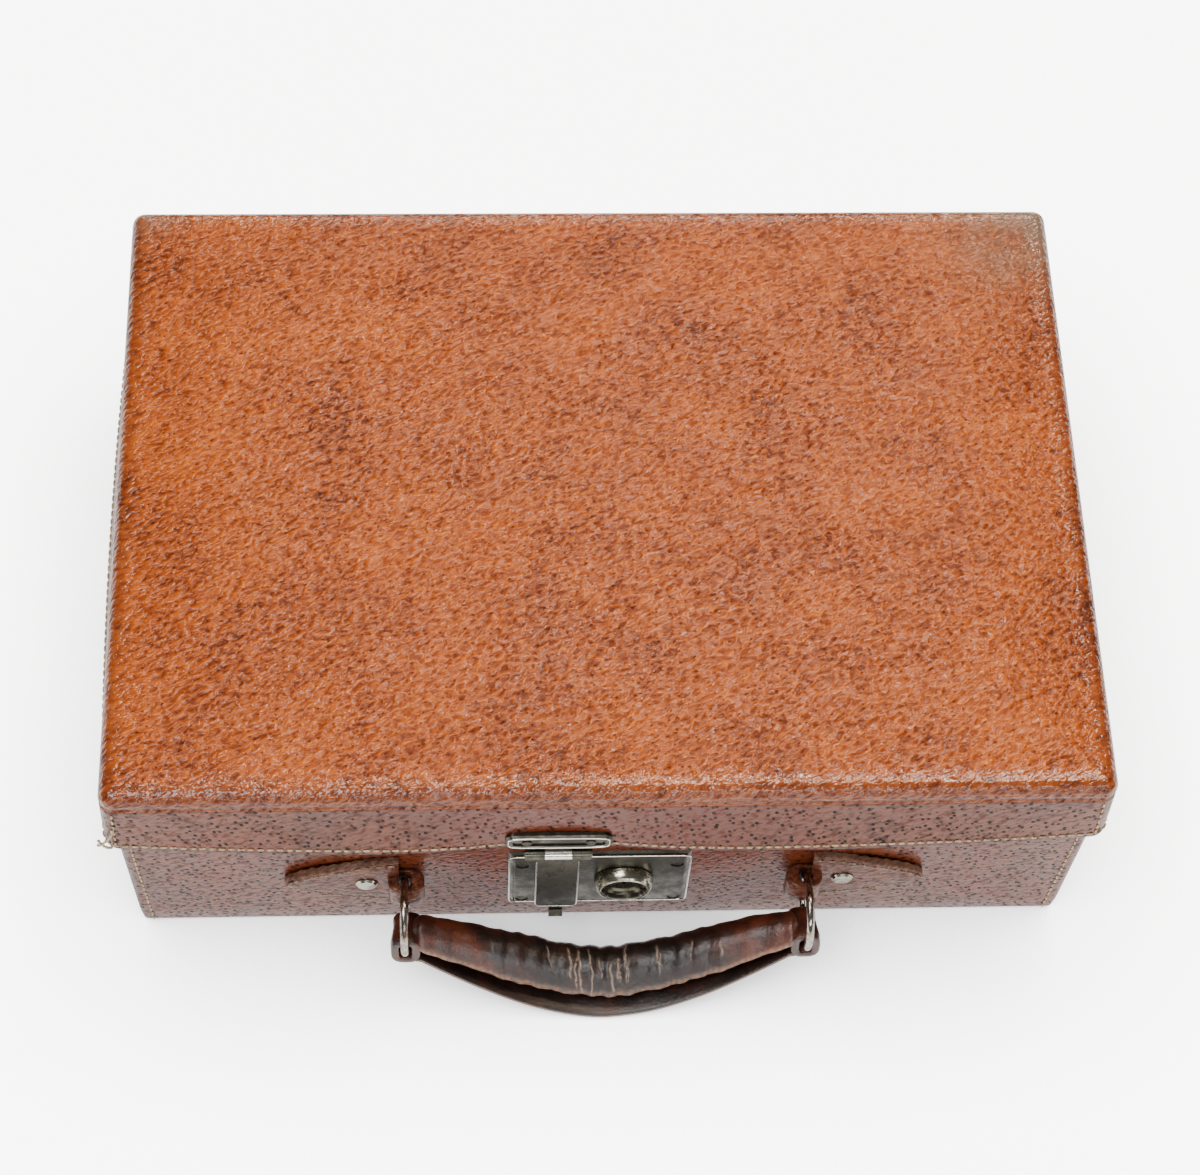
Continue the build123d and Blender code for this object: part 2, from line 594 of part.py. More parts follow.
def hasp_staple():
    """Square loop on the back of the flap that the bolt's finger passes through."""
    tip_y = on_front(0, LOCK_Z, -STAPLE_REACH).position.Y
    low = LOCK_Z - STAPLE_HEIGHT / 2
    high = LOCK_Z + STAPLE_HEIGHT / 2
    left = HASP_X - STAPLE_THICKNESS / 2
    right = HASP_X + STAPLE_THICKNESS / 2
    loop = box_between((left, FLAP_BACK_Y, low), (right, tip_y, high))
    eye_low = (left - PAST, FLAP_BACK_Y, low + STAPLE_WIRE)
    eye_high = (right + PAST, tip_y - STAPLE_TIP, high - STAPLE_WIRE)
    return loop - box_between(eye_low, eye_high)


def build_hasp(nodes):
    """Hasp plate, its rivets and pin on the lid, then the swinging flap and staple."""
    nodes["hasp_lid_plate"] = hasp_lid_plate()
    rivets = []
    top = HASP_BAR_RISE - HASP_TROUGH_DEPTH
    for x in hasp_rivet_spots():
        shank = hasp_rod(x, HASP_PIN_RADIUS, LID_BACK + SEAT, top)
        rivets.append(shank + hasp_rod(x, HASP_RIVET_HEAD, top, top + RIVET_HEAD_HEIGHT))
    nodes["hasp_rivets"] = Compound(rivets)
    pin_length = HASP_HEAD_WIDTH + 2 * HASP_PIN_PROUD
    nodes["hasp_pin"] = knuckle(HASP_X, HASP_Y, HASP_Z, HASP_PIN_RADIUS, pin_length)
    nodes["hasp_flap"] = hasp_flap()
    nodes["hasp_staple"] = hasp_staple()


def lock_plate():
    """Shallow pressed pan with bevelled edges, slotted for the button's neck and the staple."""
    foot = on_front(LOCK_X, LOCK_Z, 0) * Rectangle(LOCK_WIDTH, LOCK_HEIGHT)
    face_wide = LOCK_WIDTH - 2 * LOCK_BEVEL_SIDE
    face_high = LOCK_HEIGHT - 2 * LOCK_BEVEL_TOP
    face = on_front(LOCK_X, LOCK_Z, LOCK_RISE) * Rectangle(face_wide, face_high)
    pan = loft([foot, face], ruled=True)
    rim = 2 * LOCK_SHEET
    hollow_foot = on_front(LOCK_X, LOCK_Z, -TOUCH) * Rectangle(LOCK_WIDTH - rim, LOCK_HEIGHT - rim)
    hollow_face = on_front(LOCK_X, LOCK_Z, PAN_BACK) * Rectangle(face_wide - rim, face_high - rim)
    pan -= loft([hollow_foot, hollow_face], ruled=True)
    for x, z in lock_corners():
        pan += front_rod(x, z, LOCK_RIVET_HEAD + LOCK_RIVET_PAD, 0, PAN_BACK)
        pan -= front_rod(x, z, LOCK_RIVET_HEAD + SEAT, LOCK_RIVET_SEAT, LOCK_RISE + PAST)
        pan -= front_rod(x, z, LOCK_RIVET_SHANK + RUNNING, -PAST, LOCK_RISE)
    pan -= staple_slot(-PAST, LOCK_RISE + PAST, LOCK_Z - STAPLE_HEIGHT / 2 - STAPLE_ROOM)
    middle = on_front(BUTTON_X - BUTTON_TRAVEL / 2, LOCK_Z, LOCK_RISE / 2)
    slot_long = BUTTON_TRAVEL + 2 * BUTTON_NECK_RADIUS + 2 * SEAT
    slot = middle * SlotOverall(slot_long, 2 * (BUTTON_NECK_RADIUS + SEAT))
    pan -= extrude(slot, 2 * LOCK_RISE, both=True)
    return pan


def lock_case():
    """Open tray let into the wall behind the plate."""
    depth = PAN_BACK - LOCK_CASE_BACK
    middle = on_front(LOCK_X, LOCK_Z, (PAN_BACK + LOCK_CASE_BACK) / 2)
    tray = middle * Box(LOCK_CASE_WIDTH, LOCK_CASE_HEIGHT, depth)
    sheet = 2 * LOCK_CASE_SHEET
    inside = middle * Pos(0, 0, LOCK_CASE_SHEET)
    tray -= inside * Box(LOCK_CASE_WIDTH - sheet, LOCK_CASE_HEIGHT - sheet, depth)
    tray -= staple_slot(-STAPLE_REACH - STAPLE_ROOM, PAN_BACK + PAST, LOCK_Z)
    guide_depth = BOLT_BACK - RUNNING - (LOCK_CASE_BACK + LOCK_CASE_SHEET)
    guide_middle = (BOLT_BACK - RUNNING + LOCK_CASE_BACK + LOCK_CASE_SHEET) / 2
    guide_height = BOLT_HEIGHT + 2 * GUIDE_OVERHANG
    for offset in GUIDE_OFFSETS:
        guide = Box(GUIDE_WIDTH, guide_height, guide_depth)
        tray += on_front(LOCK_X + offset, LOCK_Z, guide_middle) * guide
    return tray


def lock_bolt():
    """Flat bolt that slides behind the plate, with the finger that enters the staple."""
    tail = BUTTON_X + BUTTON_NECK_RADIUS + BOLT_TAIL
    root = HASP_X + STAPLE_SLOT_WIDTH / 2 + BUTTON_TRAVEL + BOLT_SHOULDER
    tip = HASP_X + STAPLE_THICKNESS / 2 + FREE
    body = on_front((root + tail) / 2, LOCK_Z, 0) * Box(tail - root, BOLT_HEIGHT, BOLT_THICKNESS)
    finger = Box(root - tip, BOLT_FINGER_HEIGHT, BOLT_THICKNESS)
    bolt = body + on_front((tip + root) / 2, LOCK_Z, 0) * finger
    return bolt - front_rod(BUTTON_X, LOCK_Z, KEY_BARREL_RADIUS + FREE, -PAST, PAST)


def lock_button():
    """Turned knob with a dished face, a rounded rim and a neck that joins the bolt."""
    top = LOCK_RISE + BUTTON_HEIGHT
    outer = BUTTON_BASE_RADIUS
    dish = BUTTON_DISH_RADIUS
    bore = KEY_BARREL_RADIUS + RUNNING
    flat = KEY_BARREL_RADIUS + BUTTON_DISH_FLAT
    band = BUTTON_FOOT + BUTTON_ROLL
    roll = top - BUTTON_ROLL
    roll_middle = ((BUTTON_RIM_RADIUS + dish) / 2, top)
    bowl_middle = ((dish + flat) / 2, (BUTTON_FLOOR_FACE + roll) / 2 - BUTTON_ROLL / 2)
    wall = Line((outer, BUTTON_FOOT), (outer, band))
    flank = ThreePointArc((outer, band), (outer - TOUCH, (band + roll) / 2), (BUTTON_RIM_RADIUS, roll))
    crest = ThreePointArc((BUTTON_RIM_RADIUS, roll), roll_middle, (dish, roll))
    bowl = ThreePointArc((dish, roll), bowl_middle, (flat, BUTTON_FLOOR_FACE))
    neck = (BUTTON_NECK_RADIUS, BOLT_FRONT)
    inner = Polyline((flat, BUTTON_FLOOR_FACE), (bore, BUTTON_FLOOR_FACE), (bore, BOLT_FRONT), neck)
    under = Polyline(neck, (BUTTON_NECK_RADIUS, BUTTON_FOOT), (outer, BUTTON_FOOT))
    profile = make_face(Wire([wall, flank, crest, bowl, *inner.edges(), *under.edges()]))
    # The profile is drawn as radius and depth, and turned about the depth axis
    turned = revolve(Plane.XZ * profile, Axis.Z)
    return on_front(BUTTON_X, LOCK_Z, 0) * turned


def key_barrel():
    """Lock barrel in the middle of the knob, with its key slot."""
    face = BUTTON_FLOOR_FACE + KEY_BARREL_PROUD
    barrel = front_rod(BUTTON_X, LOCK_Z, KEY_BARREL_RADIUS, BOLT_BACK, face)
    slot = Box(KEY_SLOT_WIDTH, KEY_SLOT_HEIGHT, 2 * KEY_SLOT_DEPTH)
    return barrel - on_front(BUTTON_X, LOCK_Z, face) * slot


def lock_spring():
    """Bowed leaf in the case that bears on the bolt's upper edge and holds it where it is put."""
    top = LOCK_CASE_TOP - LOCK_CASE_SHEET
    bolt_edge = LOCK_Z + BOLT_HEIGHT / 2 + SPRING_GAP
    half = SPRING_HALF_SPAN
    under = top - SPRING_SHEET
    lower = ThreePointArc((-half, under), (0, bolt_edge), (half, under))
    upper = ThreePointArc((half, top), (0, bolt_edge + SPRING_SHEET), (-half, top))
    right_end = Line((half, under), (half, top))
    left_end = Line((-half, top), (-half, under))
    outline = make_face(Wire([lower, right_end, upper, left_end]))
    place = FRONT * Pos(BUTTON_X - SPRING_OFFSET, 0, BOLT_BACK + RUNNING)
    return place * extrude(outline, SPRING_WIDTH)


def build_lock(nodes):
    """The pan and its rivets, the case behind it, and the knob, bolt and key barrel."""
    nodes["lock_plate"] = lock_plate()
    rivets = []
    for x, z in lock_corners():
        shank = front_rod(x, z, LOCK_RIVET_SHANK, LOCK_CASE_BACK, LOCK_RIVET_SEAT)
        head = front_rod(x, z, LOCK_RIVET_HEAD, LOCK_RIVET_SEAT, LOCK_RISE - LOCK_RIVET_SINK)
        rivets.append(shank + head)
    nodes["lock_rivets"] = Compound(rivets)
    nodes["lock_case"] = lock_case()
    nodes["lock_spring"] = lock_spring()
    nodes["lock_bolt"] = lock_bolt()
    nodes["lock_button"] = lock_button()
    nodes["key_barrel"] = key_barrel()


# The ring stands out of the wall by its under layer, a little play, the wire and its radius
RING_OUT = CHAPE_LEATHER + FREE + RING_WIRE_RADIUS + RING_RADIUS
RING_CENTRE = on_front(0, RING_Z, RING_OUT).position


def chape(side):
    """Leaf of folded leather, riveted to the wall, whose nose loops round the ring's wire."""
    leaf_thick = 2 * CHAPE_LEATHER
    start = CHAPE_LEAF_START_X
    end = CHAPE_TIP_X
    half = CHAPE_HALF_HEIGHT
    tip = CHAPE_TIP_HALF
    belly_x = (start + end) / 2 + CHAPE_BELLY_SHIFT
    belly = half * CHAPE_BELLY_SHARE
    upper = ThreePointArc((start, half), (belly_x, belly), (end, tip))
    lower = ThreePointArc((end, -tip), (belly_x, -belly), (start, -half))
    point = Line((end, tip), (end, -tip))
    root = Line((start, -half), (start, half))
    leaf = extrude(make_face(Wire([upper, point, lower, root])), leaf_thick)
    leaf = chamfer(leaf.faces().sort_by(Axis.Z)[-1].edges(), CHAPE_EDGE_BEVEL)
    hole_half = CHAPE_HOLE_WIDTH / 2
    inner_radius = RING_RADIUS - RING_WIRE_RADIUS
    hole_top = RING_OUT - sqrt(inner_radius ** 2 - (CHAPE_NOSE_HEIGHT / 2) ** 2) + FREE
    nose_top = hole_top + CHAPE_NOSE_WALL
    shoulder = nose_top - CHAPE_NOSE_SHOULDER
    outer_shoulder = (RING_X + hole_half + CHAPE_EDGE_BEVEL, shoulder)
    inner_shoulder = (RING_X - hole_half - CHAPE_HOLE_CORNER, shoulder)
    inner_x = RING_X - hole_half - CHAPE_NOSE_REACH
    outer_x = start + PAST
    shape = make_face(Wire([
        Line((inner_x, 0), (outer_x, 0)),
        Line((outer_x, 0), (outer_x, leaf_thick)),
        ThreePointArc((outer_x, leaf_thick), outer_shoulder, (RING_X, nose_top)),
        ThreePointArc((RING_X, nose_top), inner_shoulder, (inner_x, 0)),
    ]))
    hole_middle = (CHAPE_LEATHER + hole_top) / 2
    hole = RectangleRounded(CHAPE_HOLE_WIDTH, hole_top - CHAPE_LEATHER, CHAPE_HOLE_CORNER)
    shape -= Pos(RING_X, hole_middle) * hole
    nose = extrude(shape, CHAPE_NOSE_HEIGHT / 2, both=True)
    # The nose is drawn as distance along and out of the wall, and pushed up and down it
    nose = Rot(X=90) * nose
    piece = leaf + nose
    piece -= Pos(CHAPE_RIVET_X, 0) * Cylinder(CHAPE_RIVET_SHANK + RUNNING, 4 * leaf_thick)
    if side < 0:
        piece = mirror(piece, about=Plane.YZ)
    return on_front(0, RING_Z, 0) * piece


def build_rings(nodes):
    """Chapes with their rivets, and the two nickel rings."""
    nodes["left_chape"] = chape(-1)
    nodes["right_chape"] = chape(1)
    rivets = []
    leaf_thick = 2 * CHAPE_LEATHER
    for side in (-1, 1):
        x = side * CHAPE_RIVET_X
        shank = front_rod(x, RING_Z, CHAPE_RIVET_SHANK, BOARD_BACK + SEAT, leaf_thick)
        head = front_rod(x, RING_Z, CHAPE_RIVET_HEAD, leaf_thick, leaf_thick + CHAPE_RIVET_RISE)
        head = chamfer(head.edges().filter_by(GeomType.CIRCLE).sort_by(Axis.Y)[0], RIVET_HEAD_HEIGHT)
        rivets.append(shank + head)
    nodes["chape_rivets"] = Compound(rivets)
    for name, side in (("left_ring", -1), ("right_ring", 1)):
        ring = Torus(RING_RADIUS, RING_WIRE_RADIUS)
        place = Pos(side * RING_X, RING_CENTRE.Y, RING_CENTRE.Z) * Rot(Y=90)
        nodes[name] = place * ring


# The handle hangs from the rings: its loops pass round their lowest stretch
LOOP_INNER = sqrt((RING_RADIUS - RING_WIRE_RADIUS) ** 2 - (HANDLE_LOOP_WIDTH / 2) ** 2) - FREE
LOOP_OUTER = RING_RADIUS + RING_WIRE_RADIUS + FREE
LOOP_FRAME = Pos(0, RING_CENTRE.Y, RING_CENTRE.Z) * Rot(X=-HANDLE_LOOP_ANGLE)
LOOP_INNER_X = RING_X - HANDLE_LOOP_HOLE_WIDTH / 2 - HANDLE_LOOP_ROOT
HANDLE_MID_Y = RING_CENTRE.Y - HANDLE_REACH


def loop_point(out, down):
    """Point of the handle's end frame, out and down from the rings' axis, in Y and Z."""
    tilt = radians(HANDLE_LOOP_ANGLE)
    y = RING_CENTRE.Y - down * sin(tilt) - out * cos(tilt)
    z = RING_CENTRE.Z - down * cos(tilt) + out * sin(tilt)
    return y, z


def handle_loop(side):
    """Folded strap end round the ring, as a flat ring of leather in the plane of X and the ring's axis."""
    outer_x = RING_X + HANDLE_LOOP_HOLE_WIDTH / 2 + HANDLE_LEATHER
    width = outer_x - LOOP_INNER_X
    gap = LOOP_OUTER - LOOP_INNER
    middle_x = outer_x - width / 2
    middle_z = -(LOOP_INNER + LOOP_OUTER) / 2
    plane = Plane(origin=(0, 0, 0), x_dir=(1, 0, 0), z_dir=(0, -1, 0))
    body = Pos(middle_x, middle_z) * RectangleRounded(width, gap + 2 * HANDLE_LEATHER, HANDLE_LOOP_CORNER)
    hole = Pos(RING_X, middle_z) * RectangleRounded(HANDLE_LOOP_HOLE_WIDTH, gap, RING_WIRE_RADIUS)
    loop = extrude(plane * (body - hole), HANDLE_LOOP_WIDTH / 2, both=True)
    if side < 0:
        loop = mirror(loop, about=Plane.YZ)
    return LOOP_FRAME * loop


def strap_section(share):
    """Middle point, width, thickness and lean of the strap from the loop (0) to mid-span (1)."""
    start_y, start_z = loop_point(0, LOOP_OUTER + HANDLE_LEATHER / 2)
    end_y = HANDLE_MID_Y
    end_z = FLOOR_GAP + HANDLE_STRAP_THICKNESS / 2
    ease = sin(radians(90 * share))
    y = start_y + (end_y - start_y) * ease
    z = start_z + (end_z - start_z) * ease
    width = HANDLE_LOOP_WIDTH + (HANDLE_STRAP_WIDTH - HANDLE_LOOP_WIDTH) * share
    thick = HANDLE_LEATHER + (HANDLE_STRAP_THICKNESS - HANDLE_LEATHER) * share
    return y, z, width, thick, HANDLE_LOOP_ANGLE * (1 - ease)


SECTION_SHARES = [0.0, 0.14, 0.3, 0.48, 0.68, 0.86, 1.0]


def handle_stations(end_x):
    """Share of the way to mid-span and distance along X of each cross-section, end to end."""
    half = [(share, end_x * (1 - share)) for share in SECTION_SHARES]
    left = [(share, -x) for share, x in half]
    right = [(share, x) for share, x in reversed(half[:-1])]
    return left + right


def tilted(x, y, z, lean):
    """Upright plane across the handle at a station, leaning with its strap."""
    lean_rad = radians(lean)
    return Plane(origin=(x, y, z), x_dir=(0, -cos(lean_rad), sin(lean_rad)), z_dir=(1, 0, 0))


def strap_band():
    """The strap between its loops, run a little way into each of them."""
    sections = []
    for share, x in handle_stations(LOOP_INNER_X + HANDLE_STRAP_TUCK):
        y, z, width, thick, lean = strap_section(share)
        sections.append(tilted(x, y, z, lean) * Rectangle(width, thick))
    return loft(sections)


def roll_section(share):
    """Middle and radius of the roll that lies on the inner side of the strap."""
    y, z, _, thick, lean = strap_section(share)
    ease = sin(radians(90 * min(1.0, share * HANDLE_ROLL_SWELL)))
    radius = HANDLE_ROLL_END_RADIUS + (HANDLE_ROLL_RADIUS - HANDLE_ROLL_END_RADIUS) * ease
    lean_rad = radians(lean)
    rise = radius + thick / 2 + TOUCH
    inward = HANDLE_ROLL_INSET * ease
    mid_y = y + rise * sin(lean_rad) + inward * cos(lean_rad)
    mid_z = z + rise * cos(lean_rad) - inward * sin(lean_rad)
    return mid_y, mid_z, radius, lean


def handle_roll(scale):
    """Rolled grip as a loft through round sections; a scale under one gives its core."""
    sections = []
    for share, x in handle_stations(LOOP_INNER_X):
        y, z, radius, lean = roll_section(share)
        sections.append(tilted(x, y, z, lean) * Circle(radius * scale))
    return loft(sections)


def build_handle(nodes):
    """Strap with its end loops, the rolled leather grip and the cord core inside it."""
    band = strap_band()
    nodes["handle_strap"] = band + handle_loop(-1) + handle_loop(1)
    core = handle_roll(HANDLE_CORE_SHARE)
    nodes["handle_roll"] = handle_roll(1.0) - core - band
    nodes["handle_core"] = core


def build_all():
    """Every node by its name."""
    nodes = {}
    build_base_shell(nodes)
    build_lid_shell(nodes)
    build_hinges(nodes)
    build_hasp(nodes)
    build_lock(nodes)
    build_rings(nodes)
    build_handle(nodes)
    return nodes


os.makedirs("parts", exist_ok=True)
for node_name, piece in build_all().items():
    export_step(piece, f"parts/{node_name}.step")
print("lid axis", round(HINGE_Y, 3), round(HINGE_Z, 3))
print("hasp axis", round(HASP_Y, 3), round(HASP_Z, 3))
print("ring axis", round(RING_CENTRE.Y, 3), round(RING_CENTRE.Z, 3))
button = on_front(BUTTON_X, LOCK_Z, 0).position
print("button", round(button.X, 3), round(button.Y, 3), round(button.Z, 3), "tilt", round(WALL_TILT, 4))
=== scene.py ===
# %% [markdown]
# A leather toiletry case stands on a pale floor. Its working parts come from a
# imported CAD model, the frame, and this lesson dresses that frame: it makes the
# leather, the seams and the worn handle, and gives every piece its finish.
# The frame is loaded first, because each new piece is placed from its sizes.

# %% Load the frame
import math

import bpy
import numpy as np
from mathutils import Matrix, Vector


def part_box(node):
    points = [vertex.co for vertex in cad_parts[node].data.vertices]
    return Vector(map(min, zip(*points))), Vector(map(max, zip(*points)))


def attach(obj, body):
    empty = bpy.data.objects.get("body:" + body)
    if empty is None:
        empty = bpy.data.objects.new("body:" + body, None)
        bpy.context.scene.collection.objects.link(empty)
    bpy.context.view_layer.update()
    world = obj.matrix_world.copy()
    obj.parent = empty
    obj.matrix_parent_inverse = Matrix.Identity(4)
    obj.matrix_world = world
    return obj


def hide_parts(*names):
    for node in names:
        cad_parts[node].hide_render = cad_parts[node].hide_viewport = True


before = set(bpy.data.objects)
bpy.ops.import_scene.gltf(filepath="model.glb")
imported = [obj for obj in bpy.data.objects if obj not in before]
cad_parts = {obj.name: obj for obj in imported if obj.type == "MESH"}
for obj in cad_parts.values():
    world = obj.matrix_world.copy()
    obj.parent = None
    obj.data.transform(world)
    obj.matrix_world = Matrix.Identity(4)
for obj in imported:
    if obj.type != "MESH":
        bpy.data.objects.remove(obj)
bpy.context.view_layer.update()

MM = 0.001


def span(node):
    """Lowest and highest corner of a CAD node, in millimetres, as two arrays."""
    low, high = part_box(node)
    return np.array(low) / MM, np.array(high) / MM


# %% [markdown]
# The camera looks down on the case from a little to its left. Its place and
# tilt were worked out from the case's edges in the photograph, and the lens from
# the same fit. Yaw turns it about the upright, pitch dips it and roll leans it.

# %% Camera
CAMERA_PLACE_MM = (-49.35, -566.22, 1022.39)
CAMERA_PITCH = math.radians(60.0)
CAMERA_YAW = math.radians(-5.188)
CAMERA_ROLL = math.radians(4.0)
CAMERA_LENS_MM = 87.27
CAMERA_SENSOR_MM = 36.0
CAMERA_SEES_M = (0.05, 20.0)


def camera_axes(yaw, pitch, roll):
    """The camera's right, up and back directions from its three turns, as columns of a matrix."""
    right = np.array([math.cos(yaw), math.sin(yaw), 0.0])
    level = np.array([-math.sin(yaw), math.cos(yaw), 0.0]) * math.cos(pitch)
    forward = level - [0.0, 0.0, math.sin(pitch)]
    up = np.cross(right, forward)
    leaned_right = right * math.cos(roll) + up * math.sin(roll)
    leaned_up = -right * math.sin(roll) + up * math.cos(roll)
    return np.stack([leaned_right, leaned_up, -forward], axis=1)


def put_in_scene(data, axes, place):
    """Makes an object of a camera or lamp, with its axes as columns and its place in metres."""
    obj = bpy.data.objects.new(data.name, data)
    bpy.context.scene.collection.objects.link(obj)
    turn = np.eye(4)
    turn[:3, :3] = axes
    turn[:3, 3] = place
    obj.matrix_world = Matrix(turn.tolist())
    return obj


def place_camera():
    """Makes the camera and hands it to the scene."""
    data = bpy.data.cameras.new("photo camera")
    data.lens = CAMERA_LENS_MM
    data.sensor_width = CAMERA_SENSOR_MM
    data.clip_start, data.clip_end = CAMERA_SEES_M
    axes = camera_axes(CAMERA_YAW, CAMERA_PITCH, CAMERA_ROLL)
    camera = put_in_scene(data, axes, np.array(CAMERA_PLACE_MM) * MM)
    bpy.context.scene.camera = camera
    return camera


print("camera at", [round(v, 3) for v in place_camera().location])

# %% [markdown]
# Every finish below is a tree of shader nodes. One helper adds a node, sets its
# values and links its inputs, and one turns a hex colour, as a paint chart gives
# it, into the linear numbers that the renderer works in.

# %% Colours and nodes


def linear(hex_colour):
    """An sRGB hex colour as linear red, green, blue and alpha."""
    parts = [int(hex_colour[i:i + 2], 16) / 255 for i in (1, 3, 5)]
    curve = [c / 12.92 if c <= 0.04045 else ((c + 0.055) / 1.055) ** 2.4 for c in parts]
    return (*curve, 1.0)


def add(tree, kind, inputs=None, out=0, stops=(), **settings):
    """Adds one node, sets its properties, fills or links its inputs and returns one output."""
    node = tree.nodes.new("ShaderNode" + kind)
    for name, value in settings.items():
        setattr(node, name, value)
    for number, (place, colour) in enumerate(stops):
        elements = node.color_ramp.elements
        element = elements[number] if number < 2 else elements.new(place)
        element.position, element.color = place, linear(colour)
    for key, value in (inputs or {}).items():
        if isinstance(value, bpy.types.NodeSocket):
            tree.links.new(value, node.inputs[key])
        else:
            node.inputs[key].default_value = value
    return node.outputs[out] if len(node.outputs) else node


# Settings that come back: a mix of two colours, a product with a sum, a range with soft ends
UNDER, OVER = 6, 7
TINT = {"out": 2, "data_type": "RGBA"}
TIMES_PLUS = {"operation": "MULTIPLY_ADD"}
SOFT = {"interpolation_type": "SMOOTHSTEP"}
PAINTED = {"out": "Fac"}


def new_tree(name):
    """An empty material; returns it and its tree."""
    material = bpy.data.materials.new(name)
    material.use_nodes = True
    material.node_tree.nodes.clear()
    return material, material.node_tree


def millimetres(tree, turn=(0.0, 0.0, 0.0), stretch=(1.0, 1.0, 1.0)):
    """Object coordinates in millimetres, turned and then stretched to give a pattern a direction."""
    place = add(tree, "TexCoord", out="Object")
    turned = add(tree, "Mapping", {"Vector": place, "Rotation": turn, "Scale": (1 / MM,) * 3})
    return add(tree, "Mapping", {"Vector": turned, "Scale": stretch})


print("a mid tan reads as", [round(c, 3) for c in linear("#9a5a2c")[:3]])

# %% [markdown]
# Pigskin is known by its hair holes, which sit in slanting rows, and by the
# raised grain between them. The finish is two layers of pattern: short wavy
# ridges along the rows, and small pits, whose near-black colour is painted shade
# inside the holes. Both also drive the bump, so that light from low behind the
# case catches one flank of each ridge. Waxing gives it a thin hard gloss over a
# rougher skin, which is a coat on the shader, and the pits get none, as if in
# shadow. Wear, dirt and painted shade in the lid's crease are set on the points
# of the piece, because they follow its edges.

# %% Pigskin
ROWS = (0.0, math.radians(25.0), math.radians(-25.0))
RIDGE_WIDTH_MM = 1.7
RIDGE_STRETCH = (0.5, 1.0, 1.0)
PIT_SPACING_MM = 1.75
PIT_STRETCH = (0.66, 1.0, 0.56)
SCUFF_TURN, SCUFF_STRETCH = (0.0, 0.0, -0.7), (0.22, 1.0, 1.0)
HANDS_FADE_MM, HANDS_FULL_MM = 95.0, 30.0
TONE_STOPS = (0.38, 0.49, 0.62)
WORN_LEATHER = "#6f5a49"


